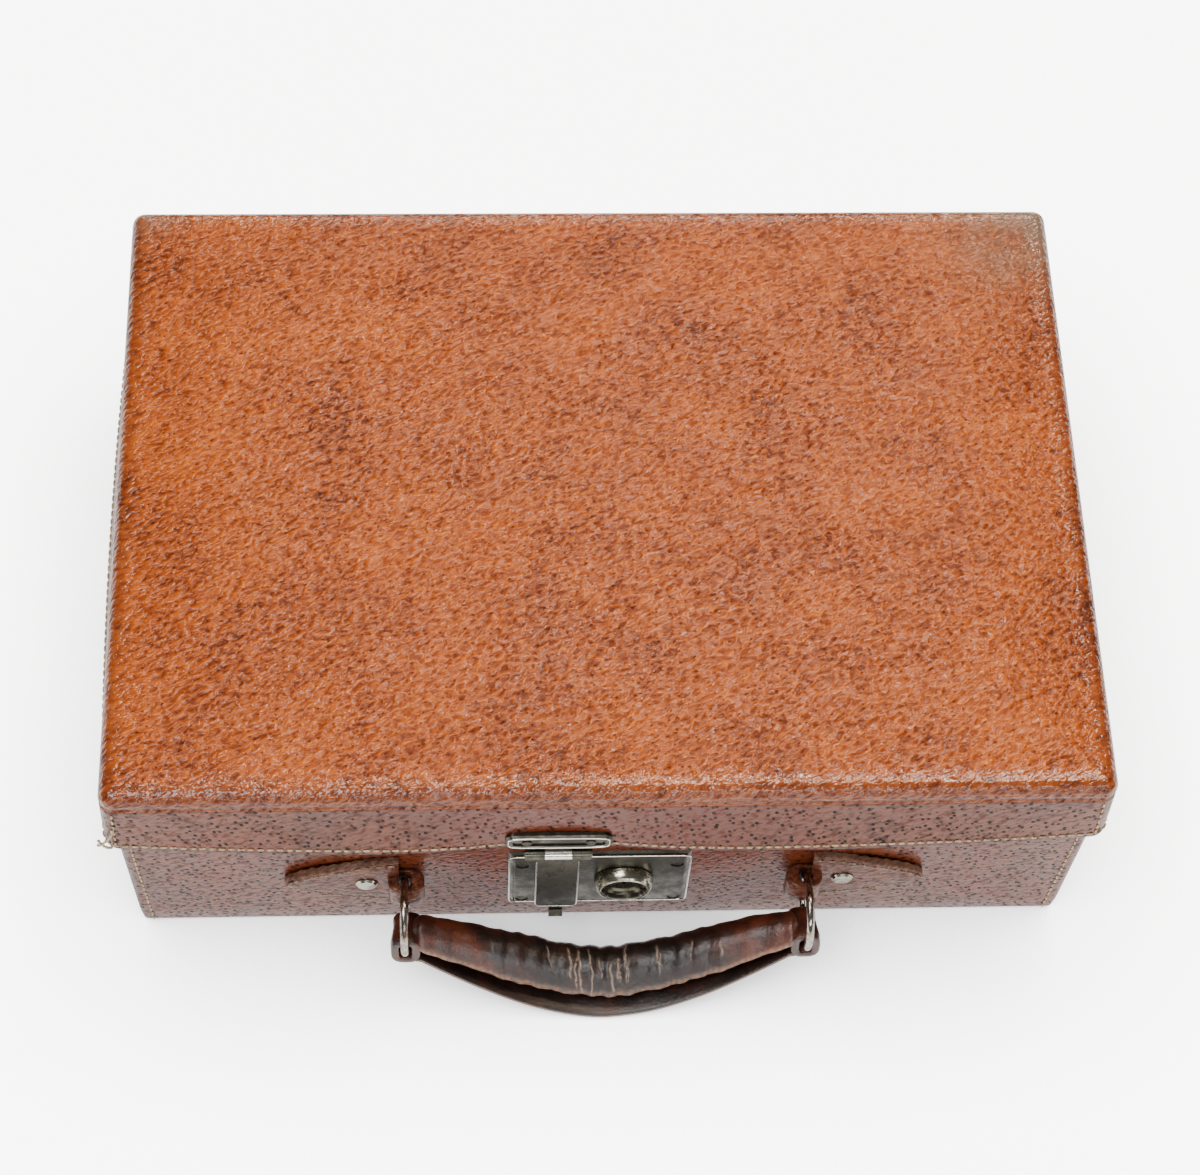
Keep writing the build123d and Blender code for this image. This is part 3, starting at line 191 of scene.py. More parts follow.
def pigskin(name, tones, shade_and_dirt_colour, mottling_mm, pit_size, pits_seen, bump, roughness, gloss, handled):
    """Waxed pigskin: cloudy tones, pits in rows darkened as painted shade, redder where hands go, and
    a ridged bump.
    """
    material, tree = new_tree(name)
    place = millimetres(tree)
    clouds = add(tree, "TexNoise", {
        "Vector": place, "Scale": 1 / mottling_mm, "Detail": 6.0, "Roughness": 0.7})
    ridges = add(tree, "TexNoise", {
        "Vector": millimetres(tree, ROWS, RIDGE_STRETCH), "Scale": 1 / RIDGE_WIDTH_MM,
        "Detail": 2.0, "Roughness": 0.45, "Distortion": 0.35})
    tone = add(tree, "Math", {0: ridges, 1: 0.44, 2: 0.11}, **TIMES_PLUS)
    tone = add(tree, "Math", {0: clouds, 1: 0.34, 2: tone}, **TIMES_PLUS)
    skin = add(tree, "ValToRGB", {"Fac": tone}, stops=zip(TONE_STOPS, tones))
    across = add(tree, "SeparateXYZ", {0: place}, out="X")
    middle = add(tree, "Math", {0: across}, operation="ABSOLUTE")
    hands = add(tree, "MapRange", {
        "Value": middle, "From Min": HANDS_FADE_MM, "From Max": HANDS_FULL_MM,
        "To Max": handled[1]}, **SOFT)
    cells = add(tree, "TexVoronoi", {
        "Vector": millimetres(tree, ROWS, PIT_STRETCH), "Scale": 1 / PIT_SPACING_MM,
        "Randomness": 0.7}, out="Distance")
    # Pits: near-black painted shade inside the hair holes, thinned out unevenly.
    hole = add(tree, "MapRange", {
        "Value": cells, "From Min": pit_size * 0.6, "From Max": pit_size,
        "To Min": 1.0, "To Max": 0.0}, **SOFT)
    uneven = add(tree, "TexNoise", {"Vector": place, "Scale": 0.21, "Detail": 3.0})
    seen = add(tree, "MapRange", {
        "Value": uneven, "From Min": 0.25, "From Max": 0.6,
        "To Min": 0.6 * pits_seen, "To Max": pits_seen})
    hole = add(tree, "Math", {0: hole, 1: seen}, operation="MULTIPLY")
    slanted = add(tree, "TexNoise", {
        "Vector": millimetres(tree, SCUFF_TURN, SCUFF_STRETCH), "Scale": 0.12,
        "Detail": 7.0, "Roughness": 0.72})
    scuffs = add(tree, "MapRange", {
        "Value": slanted, "From Min": 0.63, "From Max": 0.72, "To Max": 0.4})
    dirt_and_shade, wear, polish = (add(tree, "Attribute", attribute_name=key, **PAINTED)
                          for key in ("dirt_and_shade", "wear", "polish"))
    ragged = add(tree, "MapRange", {"Value": clouds, "From Min": 0.35, "From Max": 0.6})
    wear = add(tree, "Math", {0: wear, 1: ragged}, operation="MULTIPLY")
    # Hands redden the skin. The dark colour goes into the pits as painted shade, onto scuffs, and
    # onto the dirt and painted shade from the points. Worn places turn pale.
    for amount, colour in ((hands, handled[0]), (hole, shade_and_dirt_colour), (scuffs, shade_and_dirt_colour), (dirt_and_shade, shade_and_dirt_colour),
                           (wear, WORN_LEATHER)):
        skin = add(tree, "Mix", {0: amount, UNDER: skin, OVER: linear(colour)}, **TINT)
    rough = add(tree, "Math", {0: clouds, 1: 0.3, 2: roughness - 0.15}, **TIMES_PLUS)
    crest = add(tree, "MapRange", {
        "Value": ridges, "From Min": 0.34, "From Max": 0.52,
        "To Min": 0.3 * gloss, "To Max": gloss}, **SOFT)
    # No wax coat inside the pits, as if they lay in shadow.
    unpitted = add(tree, "Math", {0: 1.0, 1: hole}, operation="SUBTRACT")
    wax = add(tree, "Math", {0: crest, 1: unpitted}, operation="MULTIPLY")
    wax = add(tree, "Math", {0: wax, 1: polish}, operation="ADD", use_clamp=True)
    calm = add(tree, "Math", {0: polish, 1: -0.6 * bump, 2: bump}, **TIMES_PLUS)
    relief = add(tree, "Math", {0: hole, 1: -0.45, 2: ridges}, **TIMES_PLUS)
    normal = add(tree, "Bump", {"Height": relief, "Strength": calm, "Distance": 1.0 * MM})
    shader = add(tree, "BsdfPrincipled", {
        "Base Color": skin, "Roughness": rough, "Normal": normal, "Coat Weight": wax,
        "Coat Roughness": 0.09, "Coat Normal": normal, "Specular IOR Level": 0.1})
    add(tree, "OutputMaterial", {"Surface": shader})
    return material


# Top: the palest and glossiest hide of the case, tan turned orange with wax
top_pigskin = pigskin(
    "waxed tan pigskin", ("#4f1a03", "#8f3f06", "#b4580a"), "#260c03", mottling_mm=40.0,
    pit_size=0.24, pits_seen=0.55, bump=1.2, roughness=0.4, gloss=0.6, handled=("#8c3c0a", 0.0))
# Sides: the same hide, darker from handling and redder round the lock and handle
side_pigskin = pigskin(
    "waxed brown pigskin", ("#3e1b0e", "#5c2913", "#70371c"), "#0e0503", mottling_mm=30.0,
    pit_size=0.36, pits_seen=1.0, bump=0.26, roughness=0.44, gloss=0.5, handled=("#5c2412", 0.75))
# Chapes: smaller pieces cut from the softer belly, so they are redder and smoother
chape_pigskin = pigskin(
    "skived brown pigskin", ("#33160c", "#532a1a", "#724230"), "#150805", mottling_mm=12.0,
    pit_size=0.3, pits_seen=0.6, bump=0.5, roughness=0.42, gloss=0.25, handled=("#5c2412", 0.3))
print("pigskins:", top_pigskin.name, side_pigskin.name, chape_pigskin.name)

# %% [markdown]
# The grip is bridle leather, rubbed by hands until it is almost black and shiny.
# Age has cracked it across, and the cracks show the pale fibre beneath. They are
# few and each has its own place, so they are painted on the grip's points when
# its shape is made, and the finish only reads that number.

# %% Handle leather, cut edges and thread


def bridle_leather(name):
    """Hand-polished bridle leather: dark and glossy, with cracks, fraying at the seam and a painted
    highlight by its points.
    """
    material, tree = new_tree(name)
    place = millimetres(tree)
    clouds = add(tree, "TexNoise", {
        "Vector": place, "Scale": 0.12, "Detail": 5.0, "Roughness": 0.65})
    chestnut, torn, frayed_and_highlight = (add(tree, "Attribute", attribute_name=key, **PAINTED)
                              for key in ("chestnut", "cracks", "frayed_and_highlight"))
    tone = add(tree, "Math", {0: chestnut, 1: 0.26, 2: clouds}, **TIMES_PLUS)
    skin = add(tree, "ValToRGB", {"Fac": tone}, stops=(
        (0.4, "#100603"), (0.56, "#200d08"), (0.7, "#3a190e"), (0.86, "#552613")))
    fibre = add(tree, "TexNoise", {
        "Vector": place, "Scale": 0.75, "Detail": 4.0, "Roughness": 0.7})
    open_skin = add(tree, "MapRange", {"Value": fibre, "From Min": 0.34, "From Max": 0.52})
    torn = add(tree, "Math", {0: torn, 1: open_skin}, operation="MULTIPLY")
    frayed_and_highlight = add(tree, "Math", {0: frayed_and_highlight, 1: open_skin}, operation="MULTIPLY")
    # Pale fibre shows in the cracks and where the seam is fraying. The same colour on the strap's
    # outer edge is a painted highlight.
    for amount, colour in ((torn, "#96806f"), (frayed_and_highlight, "#96694a")):
        skin = add(tree, "Mix", {0: amount, UNDER: skin, OVER: linear(colour)}, **TINT)
    relief = add(tree, "Math", {0: torn, 1: -0.9, 2: fibre}, **TIMES_PLUS)
    normal = add(tree, "Bump", {"Height": relief, "Strength": 0.55, "Distance": 0.5 * MM})
    rough = add(tree, "Math", {0: frayed_and_highlight, 1: 0.4, 2: 0.34}, **TIMES_PLUS)
    shader = add(tree, "BsdfPrincipled", {
        "Base Color": skin, "Roughness": rough, "Normal": normal, "Coat Weight": 0.35,
        "Coat Roughness": 0.2, "Coat Normal": normal})
    add(tree, "OutputMaterial", {"Surface": shader})
    return material


def plain(name, dark, pale, grain_mm, roughness):
    """A matt finish with one soft pattern between two tones."""
    material, tree = new_tree(name)
    pattern = add(tree, "TexNoise", {
        "Vector": millimetres(tree), "Scale": 1 / grain_mm, "Detail": 4.0})
    skin = add(tree, "ValToRGB", {"Fac": pattern}, stops=((0.35, dark), (0.65, pale)))
    normal = add(tree, "Bump", {"Height": pattern, "Strength": 0.3, "Distance": 0.2 * MM})
    shader = add(tree, "BsdfPrincipled", {
        "Base Color": skin, "Roughness": roughness, "Normal": normal})
    add(tree, "OutputMaterial", {"Surface": shader})
    return material


handle_leather = bridle_leather("hand-polished bridle leather")
# Thread: waxed linen, once cream and now grey-brown in its hollows
linen_thread = plain("waxed linen thread", "#7d6a50", "#c9b893", 1.2, 0.7)
# Chape thread: the same linen, darkened with the leather it holds
dark_thread = plain("darkened linen thread", "#4f3b2c", "#9a8468", 1.2, 0.7)
# Cut edges: raw leather stained dark, so it takes no shine
cut_edge = plain("stained cut leather edge", "#2a221e", "#5b5048", 1.5, 0.8)
# Lining: thin split skin, matt and even
skiver = plain("skiver lining", "#5d3a22", "#7a5132", 14.0, 0.7)
# Walls: sawn pine, seen only where the lid is lifted
pine = plain("sawn pine board", "#9a7a52", "#b9976a", 3.0, 0.75)
hemp = plain("laid hemp cord", "#93805f", "#b9a684", 1.0, 0.85)
print("leathers and threads:", handle_leather.name, linen_thread.name, cut_edge.name)

# %% [markdown]
# The fittings are nickel-plated. Old nickel goes a greenish grey, dull where air
# has etched it and bright where hands or edges rub. A metal's colour is its
# reflection, so the tarnish changes the base colour and the roughness together.

# %% Metals
OLD_POLISH = "#2b281d"


def nickel_plate(name, bright, dull, tarnish, smooth, rough, patch_mm, spread):
    """Nickel plate whose tarnish patches are darker and rougher than the clean metal."""
    material, tree = new_tree(name)
    place = millimetres(tree)
    patches = add(tree, "TexNoise", {
        "Vector": place, "Scale": 1 / patch_mm, "Detail": 6.0, "Roughness": 0.65})
    aged = add(tree, "MapRange", {
        "Value": patches, "From Min": spread[0], "From Max": spread[1]}, **SOFT)
    specks = add(tree, "TexNoise", {"Vector": place, "Scale": 0.9, "Detail": 3.0})
    specks = add(tree, "MapRange", {
        "Value": specks, "From Min": 0.6, "From Max": 0.72, "To Max": 0.5})
    dirt_and_shade = add(tree, "Attribute", attribute_name="dirt_and_shade", **PAINTED)
    skin = linear(bright)
    for amount, colour in ((aged, dull), (specks, tarnish), (dirt_and_shade, OLD_POLISH)):
        skin = add(tree, "Mix", {0: amount, UNDER: skin, OVER: linear(colour)}, **TINT)
    rubbed = add(tree, "Math", {0: aged, 1: rough - smooth, 2: smooth}, **TIMES_PLUS)
    normal = add(tree, "Bump", {"Height": patches, "Strength": 0.12, "Distance": 0.2 * MM})
    shader = add(tree, "BsdfPrincipled", {
        "Base Color": skin, "Roughness": rubbed, "Metallic": 1.0, "Normal": normal})
    add(tree, "OutputMaterial", {"Surface": shader})
    return material


# Lock plate: the most tarnished sheet, greenish grey with a faint brown bloom
plate_nickel = nickel_plate(
    "tarnished nickel sheet", "#5f5d53", "#3b3931", "#2b2119", 0.24, 0.4, 9.0, (0.36, 0.6))
# Knob, hasp and rivets: cast pieces kept bright by fingers
cast_nickel = nickel_plate(
    "rubbed cast nickel", "#aaa698", "#67624f", "#3a3020", 0.16, 0.32, 6.0, (0.42, 0.68))
# Rings: drawn wire, the brightest metal, with brown specks
ring_nickel = nickel_plate(
    "drawn nickel wire", "#aaa29a", "#635449", "#3a2418", 0.12, 0.28, 4.0, (0.42, 0.66))
# Rivet heads: sunk, and the darkest nickel of the case
dark_nickel = nickel_plate(
    "dark nickel rivet", "#4a463b", "#2b2820", "#1f1812", 0.3, 0.45, 3.0, (0.4, 0.65))
# Edges and the hasp's knuckle: rubbed nickel, made the palest of all as a painted highlight
rubbed_highlight_nickel = nickel_plate(
    "rubbed nickel with painted highlight", "#e4e0d6", "#b4ae9e", "#6e6250", 0.16, 0.3, 4.0, (0.5, 0.75))
# Pins, spring and bolt: bare steel that has darkened
plain_steel = nickel_plate(
    "plain steel", "#5c5a55", "#3c3a36", "#2a2018", 0.3, 0.5, 6.0, (0.4, 0.65))
print("metals:", plate_nickel.name, cast_nickel.name, ring_nickel.name)

# %% [markdown]
# Each new piece is a grid of points worked out as whole arrays. The same few
# helpers turn a grid into a mesh: they join neighbouring points into faces, close
# the ends, and check by the enclosed volume that the faces look outwards.

# %% Meshes from grids


def grid_faces(rows, columns, wrap_rows, wrap_columns):
    """Four-cornered faces between neighbouring grid points, going round where a side is wrapped."""
    row = np.arange(rows if wrap_rows else rows - 1)
    column = np.arange(columns if wrap_columns else columns - 1)
    r, c = np.meshgrid(row, column, indexing="ij")
    r2 = (r + 1) % rows
    c2 = (c + 1) % columns
    corners = [r * columns + c, r * columns + c2, r2 * columns + c2, r2 * columns + c]
    return np.stack(corners, axis=-1).reshape(-1, 4)


def enclosed_volume(points, faces):
    """Volume in a closed mesh: a sixth of the sum of triple products, positive if faces look out."""
    a, b, c = points[faces[:, 0]], points[faces[:, 1]], points[faces[:, 2]]
    d = points[faces[:, -1]]
    first = np.einsum("ij,ij->", a, np.cross(b, c))
    second = np.einsum("ij,ij->", a, np.cross(c, d))
    return (first + second) / 6


def build_piece(name, points_mm, faces, body, material, paint=None, smooth=True):
    """Makes a mesh object from points in millimetres, rides it on a body and gives it a finish."""
    faces = np.asarray(faces)
    if enclosed_volume(points_mm, faces) < 0:
        faces = faces[:, ::-1]
    mesh = bpy.data.meshes.new(name)
    mesh.vertices.add(len(points_mm))
    mesh.vertices.foreach_set("co", (points_mm * MM).astype(np.float32).ravel())
    sides = faces.shape[1]
    mesh.loops.add(faces.size)
    mesh.loops.foreach_set("vertex_index", faces.astype(np.int32).ravel())
    mesh.polygons.add(len(faces))
    mesh.polygons.foreach_set("loop_start", np.arange(0, faces.size, sides, dtype=np.int32))
    mesh.polygons.foreach_set("use_smooth", np.full(len(faces), smooth))
    for key, values in (paint or {}).items():
        layer = mesh.attributes.new(key, "FLOAT", "POINT")
        layer.data.foreach_set("value", np.asarray(values, dtype=np.float32).ravel())
    mesh.update(calc_edges=True)
    mesh.validate()
    mesh.materials.append(material)
    obj = bpy.data.objects.new(name, mesh)
    bpy.context.scene.collection.objects.link(obj)
    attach(obj, body)
    return obj


def ring_grid(grid):
    """Faces and points of a grid that goes round in both directions, such as a loop of leather."""
    rows, columns, _ = grid.shape
    return grid.reshape(-1, 3), grid_faces(rows, columns, True, True)


def capped_grid(grid):
    """A grid closed round its columns, with each end row drawn in to its middle point."""
    ends = [np.repeat(row.mean(axis=1, keepdims=True), grid.shape[1], axis=1)
            for row in (grid[:1], grid[-1:])]
    whole = np.concatenate([ends[0], grid, ends[1]])
    rows, columns, _ = whole.shape
    index = np.arange(rows * columns)
    index[:columns] = 0
    index[-columns:] = (rows - 1) * columns
    faces = index[grid_faces(rows, columns, False, True)]
    kept, renumbered = np.unique(faces, return_inverse=True)
    return whole.reshape(-1, 3)[kept], renumbered.reshape(faces.shape), kept


def smooth_step(value, low, high):
    """Rises from 0 to 1 between two limits with no corner at either."""
    t = np.clip((value - low) / (high - low), 0.0, 1.0)
    return t * t * (3 - 2 * t)


print("grid of 3 by 4 wrapped once makes", len(grid_faces(3, 4, False, True)), "faces")

# %% [markdown]
# The lid is a shallow box whose walls overlap the base. Its leather is stretched
# over board, so the top edge is round, a crease runs under that edge, and the
# loose lip bows outwards between its stitched corners. All the layers share one
# formula: a rounded rectangle, pushed out by a depth and raised by a height.

# %% Form of the lid
LIP_Z, CREASE_Z = (corner[2] for corner in span("lid_front_leather"))
TOP_Z = span("lid_top_leather")[1][2]
TOP_HALF = np.array([178.0, 127.0])
LID_FLARE_MM = 1.3
LID_CORNER_MM = 5.0
LID_ROUND_MM = 4.0
CREASE_DEPTH_MM, CREASE_WIDTH_MM = 0.6, 1.0
LIP_ROUND_MM = 0.35
HASP_X, HASP_FLAT_MM = -18.0, 34.0
TOP_PAD_MM = 1.8
TOP_PAD_WIDTH_MM = 46.0
TOP_WAVES_MM = (31.0, 27.0)
EDGE_ROLL_MM = 1.5
EDGE_ROLL_WIDTH_MM = 5.0
FRONT_BOW_MM = 4.2
SIDE_BOW_MM = 4.5
BACK_BOW_MM = 1.2
STRAIGHT_STEPS = (150, 108)
CORNER_STEPS = 18
FLAT_ROWS = 44
# Worn back corners: how strong, where, and how wide
WORN_CORNERS = ((1.0, (172.0, 118.0), (30.0, 34.0)), (0.8, (-176.0, 122.0), (12.0, 14.0)))


def rounded_outline(half, radius):
    """A rounded rectangle: points of an inner rectangle, and unit normals that turn at corners."""
    corners = (np.array(half) - radius) * [[1, -1], [1, 1], [-1, 1], [-1, -1]]
    quarter = np.linspace(0, 90, CORNER_STEPS, endpoint=False)
    core, angle = [], []
    for number, (start, end) in enumerate(zip(corners, np.roll(corners, -1, axis=0))):
        steps = STRAIGHT_STEPS[(number + 1) % 2]
        t = np.linspace(0, 1, steps, endpoint=False)[:, None]
        core += [start * (1 - t) + end * t, np.repeat([end], CORNER_STEPS, axis=0)]
        angle += [np.full(steps, 90.0 * number), 90.0 * number + quarter]
    angle = np.radians(np.concatenate(angle))
    return np.concatenate(core), np.stack([np.cos(angle), np.sin(angle)], axis=1)


def lip_bow(core, normal):
    """How far the lip bows out: a hump between the corners of each side, none at the hasp."""
    x, y = (core / (TOP_HALF - LID_CORNER_MM)).T
    hasp = np.exp(-((core[:, 0] - HASP_X) / HASP_FLAT_MM) ** 2)
    hump = np.clip(1 - np.abs(x) ** 2.6, 0, 1) * (1 - 0.97 * hasp)
    front = np.clip(-normal[:, 1], 0, 1) * FRONT_BOW_MM * hump
    back = np.clip(normal[:, 1], 0, 1) * BACK_BOW_MM * (1 - x ** 4) * 0.5
    sides = np.abs(normal[:, 0]) * SIDE_BOW_MM * np.clip(1 - y ** 2, 0, 1) ** 0.8
    return front + back + sides


def lid_point(core, normal, out, z, shrink, bow):
    """Point of a lid layer: the shrunken outline plus the normal times (out + bow at the lip)."""
    fall = np.clip((CREASE_Z - z) / (CREASE_Z - LIP_Z), 0, 1) ** 1.4
    push = out[:, None] + fall[:, None] * bow[None, :]
    flat = core[None] * shrink[:, None, None] + normal[None] * push[..., None]
    height = np.repeat(z[:, None], len(core), axis=1)
    return np.concatenate([flat, height[..., None]], axis=-1)


def shrinking(others):
    """Share of the outline for each row: rising over the flat's rows, whole for the others."""
    return np.concatenate([np.sin(np.linspace(0, np.pi / 2, FLAT_ROWS)) ** 0.9, np.ones(others)])


def lid_profile(depth, roof, closed_low):
    """Out, height and shrink of a layer: from the middle of its top over the edge down to the lip."""
    radius = max(LID_ROUND_MM - depth, 0.6)
    top = TOP_Z - roof
    out_top = LID_CORNER_MM - depth
    turn = np.linspace(0, np.pi / 2, 14)[1:]
    wall_z = np.linspace(top - radius, closed_low, 63)[1:]
    shrink = shrinking(len(turn) + len(wall_z))
    out = np.concatenate([
        (out_top - radius) * shrink[:FLAT_ROWS], out_top - radius + radius * np.sin(turn),
        out_top + LID_FLARE_MM * (TOP_Z - wall_z) / (TOP_Z - LIP_Z)])
    z = np.concatenate([np.full(FLAT_ROWS, top), top - radius + radius * np.cos(turn), wall_z])
    return out, z, shrink


def inside_edge(points):
    """How far points lie inside the lid's edge, seen from above."""
    return (TOP_HALF - np.abs(points[..., :2])).min(axis=-1)


def pad_top(grid):
    """Pads the top, ripples it a little and rolls its edge down."""
    edge = inside_edge(grid)
    x, y, z = np.moveaxis(grid.copy(), -1, 0)
    waves = 0.3 * np.sin(x / TOP_WAVES_MM[0] + 1.0) * np.cos(y / TOP_WAVES_MM[1])
    pad = TOP_PAD_MM * smooth_step(edge, 3.0, TOP_PAD_WIDTH_MM)
    pad = pad + waves * smooth_step(edge, 8.0, 30.0)
    roll = EDGE_ROLL_MM * np.exp(-np.clip(edge, 0, None) / EDGE_ROLL_WIDTH_MM)
    grid[..., 2] += pad * (z > TOP_Z - 0.01) - roll * smooth_step(z, CREASE_Z, TOP_Z)


def lid_paint(points):
    """Polish along the top's edge, wear at two corners, painted shade in the crease, and darker near
    the top's edge and along the lip.
    """
    x, y, z = points.T
    edge = inside_edge(points)
    above = z > CREASE_Z
    worn = sum(strong * np.exp(-(((x - place[0]) / wide[0]) ** 2 + ((y - place[1]) / wide[1]) ** 2))
               for strong, place, wide in WORN_CORNERS)
    # Darker near the top's edge, painted shade along the crease, and darker along the lip's lower
    # edge.
    rim = 1 - smooth_step(edge, 0.5, 9.0)
    crease = np.exp(-((z - CREASE_Z) / 1.4) ** 2)
    lip_edge = 1 - smooth_step(z, LIP_Z, LIP_Z + 1.2)
    return {"polish": np.exp(-((edge - 4.5) / 3.2) ** 2) * above,
            "wear": np.clip(worn, 0, 1) * (z > CREASE_Z - 6),
            "dirt_and_shade": np.clip(0.45 * rim * above + 0.45 * crease + 0.6 * lip_edge, 0, 0.9)}


def lid_layer(name, depths, roofs, material, nodes, skin=False):
    """A closed shell between two depths of the lid's wall. The skin gets crease, pad and paint."""
    core, normal = rounded_outline(TOP_HALF, LID_CORNER_MM)
    bow = lip_bow(core, normal)
    grids = []
    for depth, roof in zip(depths, roofs):
        out, z, shrink = lid_profile(depth, roof, LIP_Z + 0.05)
        if skin and depth == depths[0]:
            dent = np.exp(-((z - CREASE_Z) / CREASE_WIDTH_MM) ** 2) * (shrink == 1)
            out = out - CREASE_DEPTH_MM * dent
        grids.append(lid_point(core, normal, out, z, shrink, bow))
    outer, inner = grids
    if skin:
        pad_top(outer)
    lip = (outer[-1:] + inner[-1:]) / 2 - [0, 0, LIP_ROUND_MM]
    points, faces, _ = capped_grid(np.concatenate([outer, lip, inner[::-1]]))
    piece = build_piece(name, points, faces, "lid", material, lid_paint(points) if skin else None)
    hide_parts(*nodes)
    print(name, "points", len(points), "bow up to", round(float(bow.max()), 1), "mm")
    return piece


WALLS = ("front", "back", "left", "right")
LEATHER_MM, BOARD_MM, ROOF_BOARD_MM, LINING_MM = 1.3, 1.5, 3.2, 0.5
lid_skin = lid_layer("lid_pigskin", (0.0, LEATHER_MM), (0.0, LEATHER_MM), top_pigskin,
                     ["lid_top_leather"] + [f"lid_{side}_leather" for side in WALLS], skin=True)
wall = LEATHER_MM + BOARD_MM
roof = LEATHER_MM + ROOF_BOARD_MM
lid_layer("lid_boards", (LEATHER_MM, wall), (LEATHER_MM, roof), pine,
          ["lid_top_board"] + [f"lid_{side}_board" for side in WALLS])
lid_layer("lid_lining_cloth", (wall, wall + LINING_MM), (roof, roof + LINING_MM), skiver,
          ["lid_lining"])

# %% [markdown]
# The top hide is tan but the skirt below the crease is browner, because it is a
# separate strip. One mesh can carry two finishes: faces whose middle lies below
# the crease take the second material.

# %% Skirt finish
LIP_EDGE_MM = 0.25


def finish_below(obj, material, height_mm):
    """Gives the faces whose middle is lower than a height another finish."""
    obj.data.materials.append(material)
    count = len(obj.data.polygons)
    centre = np.empty(count * 3, dtype=np.float32)
    index = np.empty(count, dtype=np.int32)
    obj.data.polygons.foreach_get("center", centre)
    obj.data.polygons.foreach_get("material_index", index)
    low = centre.reshape(-1, 3)[:, 2] < height_mm * MM
    index[low] = len(obj.data.materials) - 1
    obj.data.polygons.foreach_set("material_index", index)
    obj.data.update()
    print(obj.name, "faces finished in", material.name, int(low.sum()))


finish_below(lid_skin, side_pigskin, CREASE_Z - 1.0)
finish_below(lid_skin, cut_edge, LIP_Z + LIP_EDGE_MM)

# %% [markdown]
# The base is the same hide over board, and it stands on a round bottom edge that
# the floor lights from below. Its shell is made like the lid's, but it narrows
# downwards. Behind the lock the leather is pushed into the pocket that the case
# was cut for, so that the bolt runs free.

# %% Base leather
SHOULDER_Z = span("base_front_leather")[1][2]
SHOULDER_HALF = np.array([175.5, 124.5])
BASE_TAPER_MM = 2.1
BASE_CORNER_MM = 4.0
BASE_ROUND_MM = 2.4
BASE_TUCK_MM = 0.9
BASE_TUCK_HEIGHT_MM = 13.0
BASE_LEATHER_MM = 1.4
POCKET_MIDDLE_MM = (-2.3, 41.1)
POCKET_HALF_MM = (26.5, 16.5)
POCKET_DEPTH_MM = 4.9


def base_profile(depth):
    """Out, height and shrink of a layer: from the middle of its underside up to the shoulder."""
    radius = BASE_ROUND_MM - depth
    turn = np.linspace(0, np.pi / 2, 13)[1:]
    wall_z = np.linspace(BASE_ROUND_MM, SHOULDER_Z, 65)
    tuck = BASE_TUCK_MM * np.clip(1 - wall_z / BASE_TUCK_HEIGHT_MM, 0, 1) ** 2
    wall_out = BASE_CORNER_MM - depth - BASE_TAPER_MM * (1 - wall_z / SHOULDER_Z) - tuck
    shrink = shrinking(len(turn) + len(wall_z) - 1)
    out = np.concatenate([
        (wall_out[0] - radius) * shrink[:FLAT_ROWS], wall_out[0] - radius * (1 - np.sin(turn)),
        wall_out[1:]])
    z = np.concatenate([
        np.full(FLAT_ROWS, depth), BASE_ROUND_MM - radius * np.cos(turn), wall_z[1:]])
    return out, z, shrink


def base_shell():
    """The base's leather, soiled at its corners and darker along its bottom edge."""
    core, normal = rounded_outline(SHOULDER_HALF, BASE_CORNER_MM)
    grids = []
    for depth in (0.0, BASE_LEATHER_MM):
        out, z, shrink = base_profile(depth)
        flat = core[None] * shrink[:, None, None] + normal[None] * out[:, None, None]
        height = np.repeat(z[:, None], len(core), axis=1)
        pocket = np.abs(flat[..., 0] - POCKET_MIDDLE_MM[0]) < POCKET_HALF_MM[0]
        pocket &= np.abs(height - POCKET_MIDDLE_MM[1]) < POCKET_HALF_MM[1]
        pocket &= (flat[..., 1] < 0) & (shrink[:, None] == 1)
        flat[..., 1] += POCKET_DEPTH_MM * pocket
        grids.append(np.concatenate([flat, height[..., None]], axis=-1))
    whole = np.concatenate([grids[0], grids[1][::-1]])
    points, faces, kept = capped_grid(whole)
    corner = 4 * (normal[:, 0] * normal[:, 1]) ** 2
    turned = np.tile(corner, len(whole) + 2)[kept]
    z = points[:, 2]
    # Soiled corners, and darker along the bottom edge.
    paint = {"dirt_and_shade": np.clip(0.5 * turned + 0.35 * np.exp(-(z / 2.5) ** 2), 0, 0.8),
             "wear": 0.8 * turned * (1 - smooth_step(z, 4.0, 14.0))}
    piece = build_piece("base_pigskin", points, faces, "base", side_pigskin, paint)
    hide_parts(*[f"base_{side}_leather" for side in WALLS + ("bottom",)])
    print("base_pigskin points", len(points))


base_shell()

# %% [markdown]
# A sewing machine leaves the same stitch hundreds of times. One stitch is a short
# thick thread with rounded ends, and numpy copies it to every place along a
# seam in one sum: the place, plus the stitch's length, width and height along
# three directions.

# %% Stitches
LIP_PITCH_MM = 3.4
LIP_SEAM_RISE_MM = 2.3
HINGE_X, HINGE_HALF_MM = 105.0, 19.0


def stitch_shape(length, thick):
    """One stitch along X: a ring of points at each of five stations, thin at the ends."""
    along = np.array([[-0.5], [-0.38], [0.0], [0.38], [0.5]]) * length
    width = np.array([[0.25], [0.85], [1.0], [0.85], [0.25]]) * thick / 2
    angle = np.linspace(0, 2 * np.pi, 6, endpoint=False)
    rings = np.broadcast_arrays(along, width * np.cos(angle), width * np.sin(angle))
    points, faces, _ = capped_grid(np.stack(rings, axis=-1))
    return points, faces


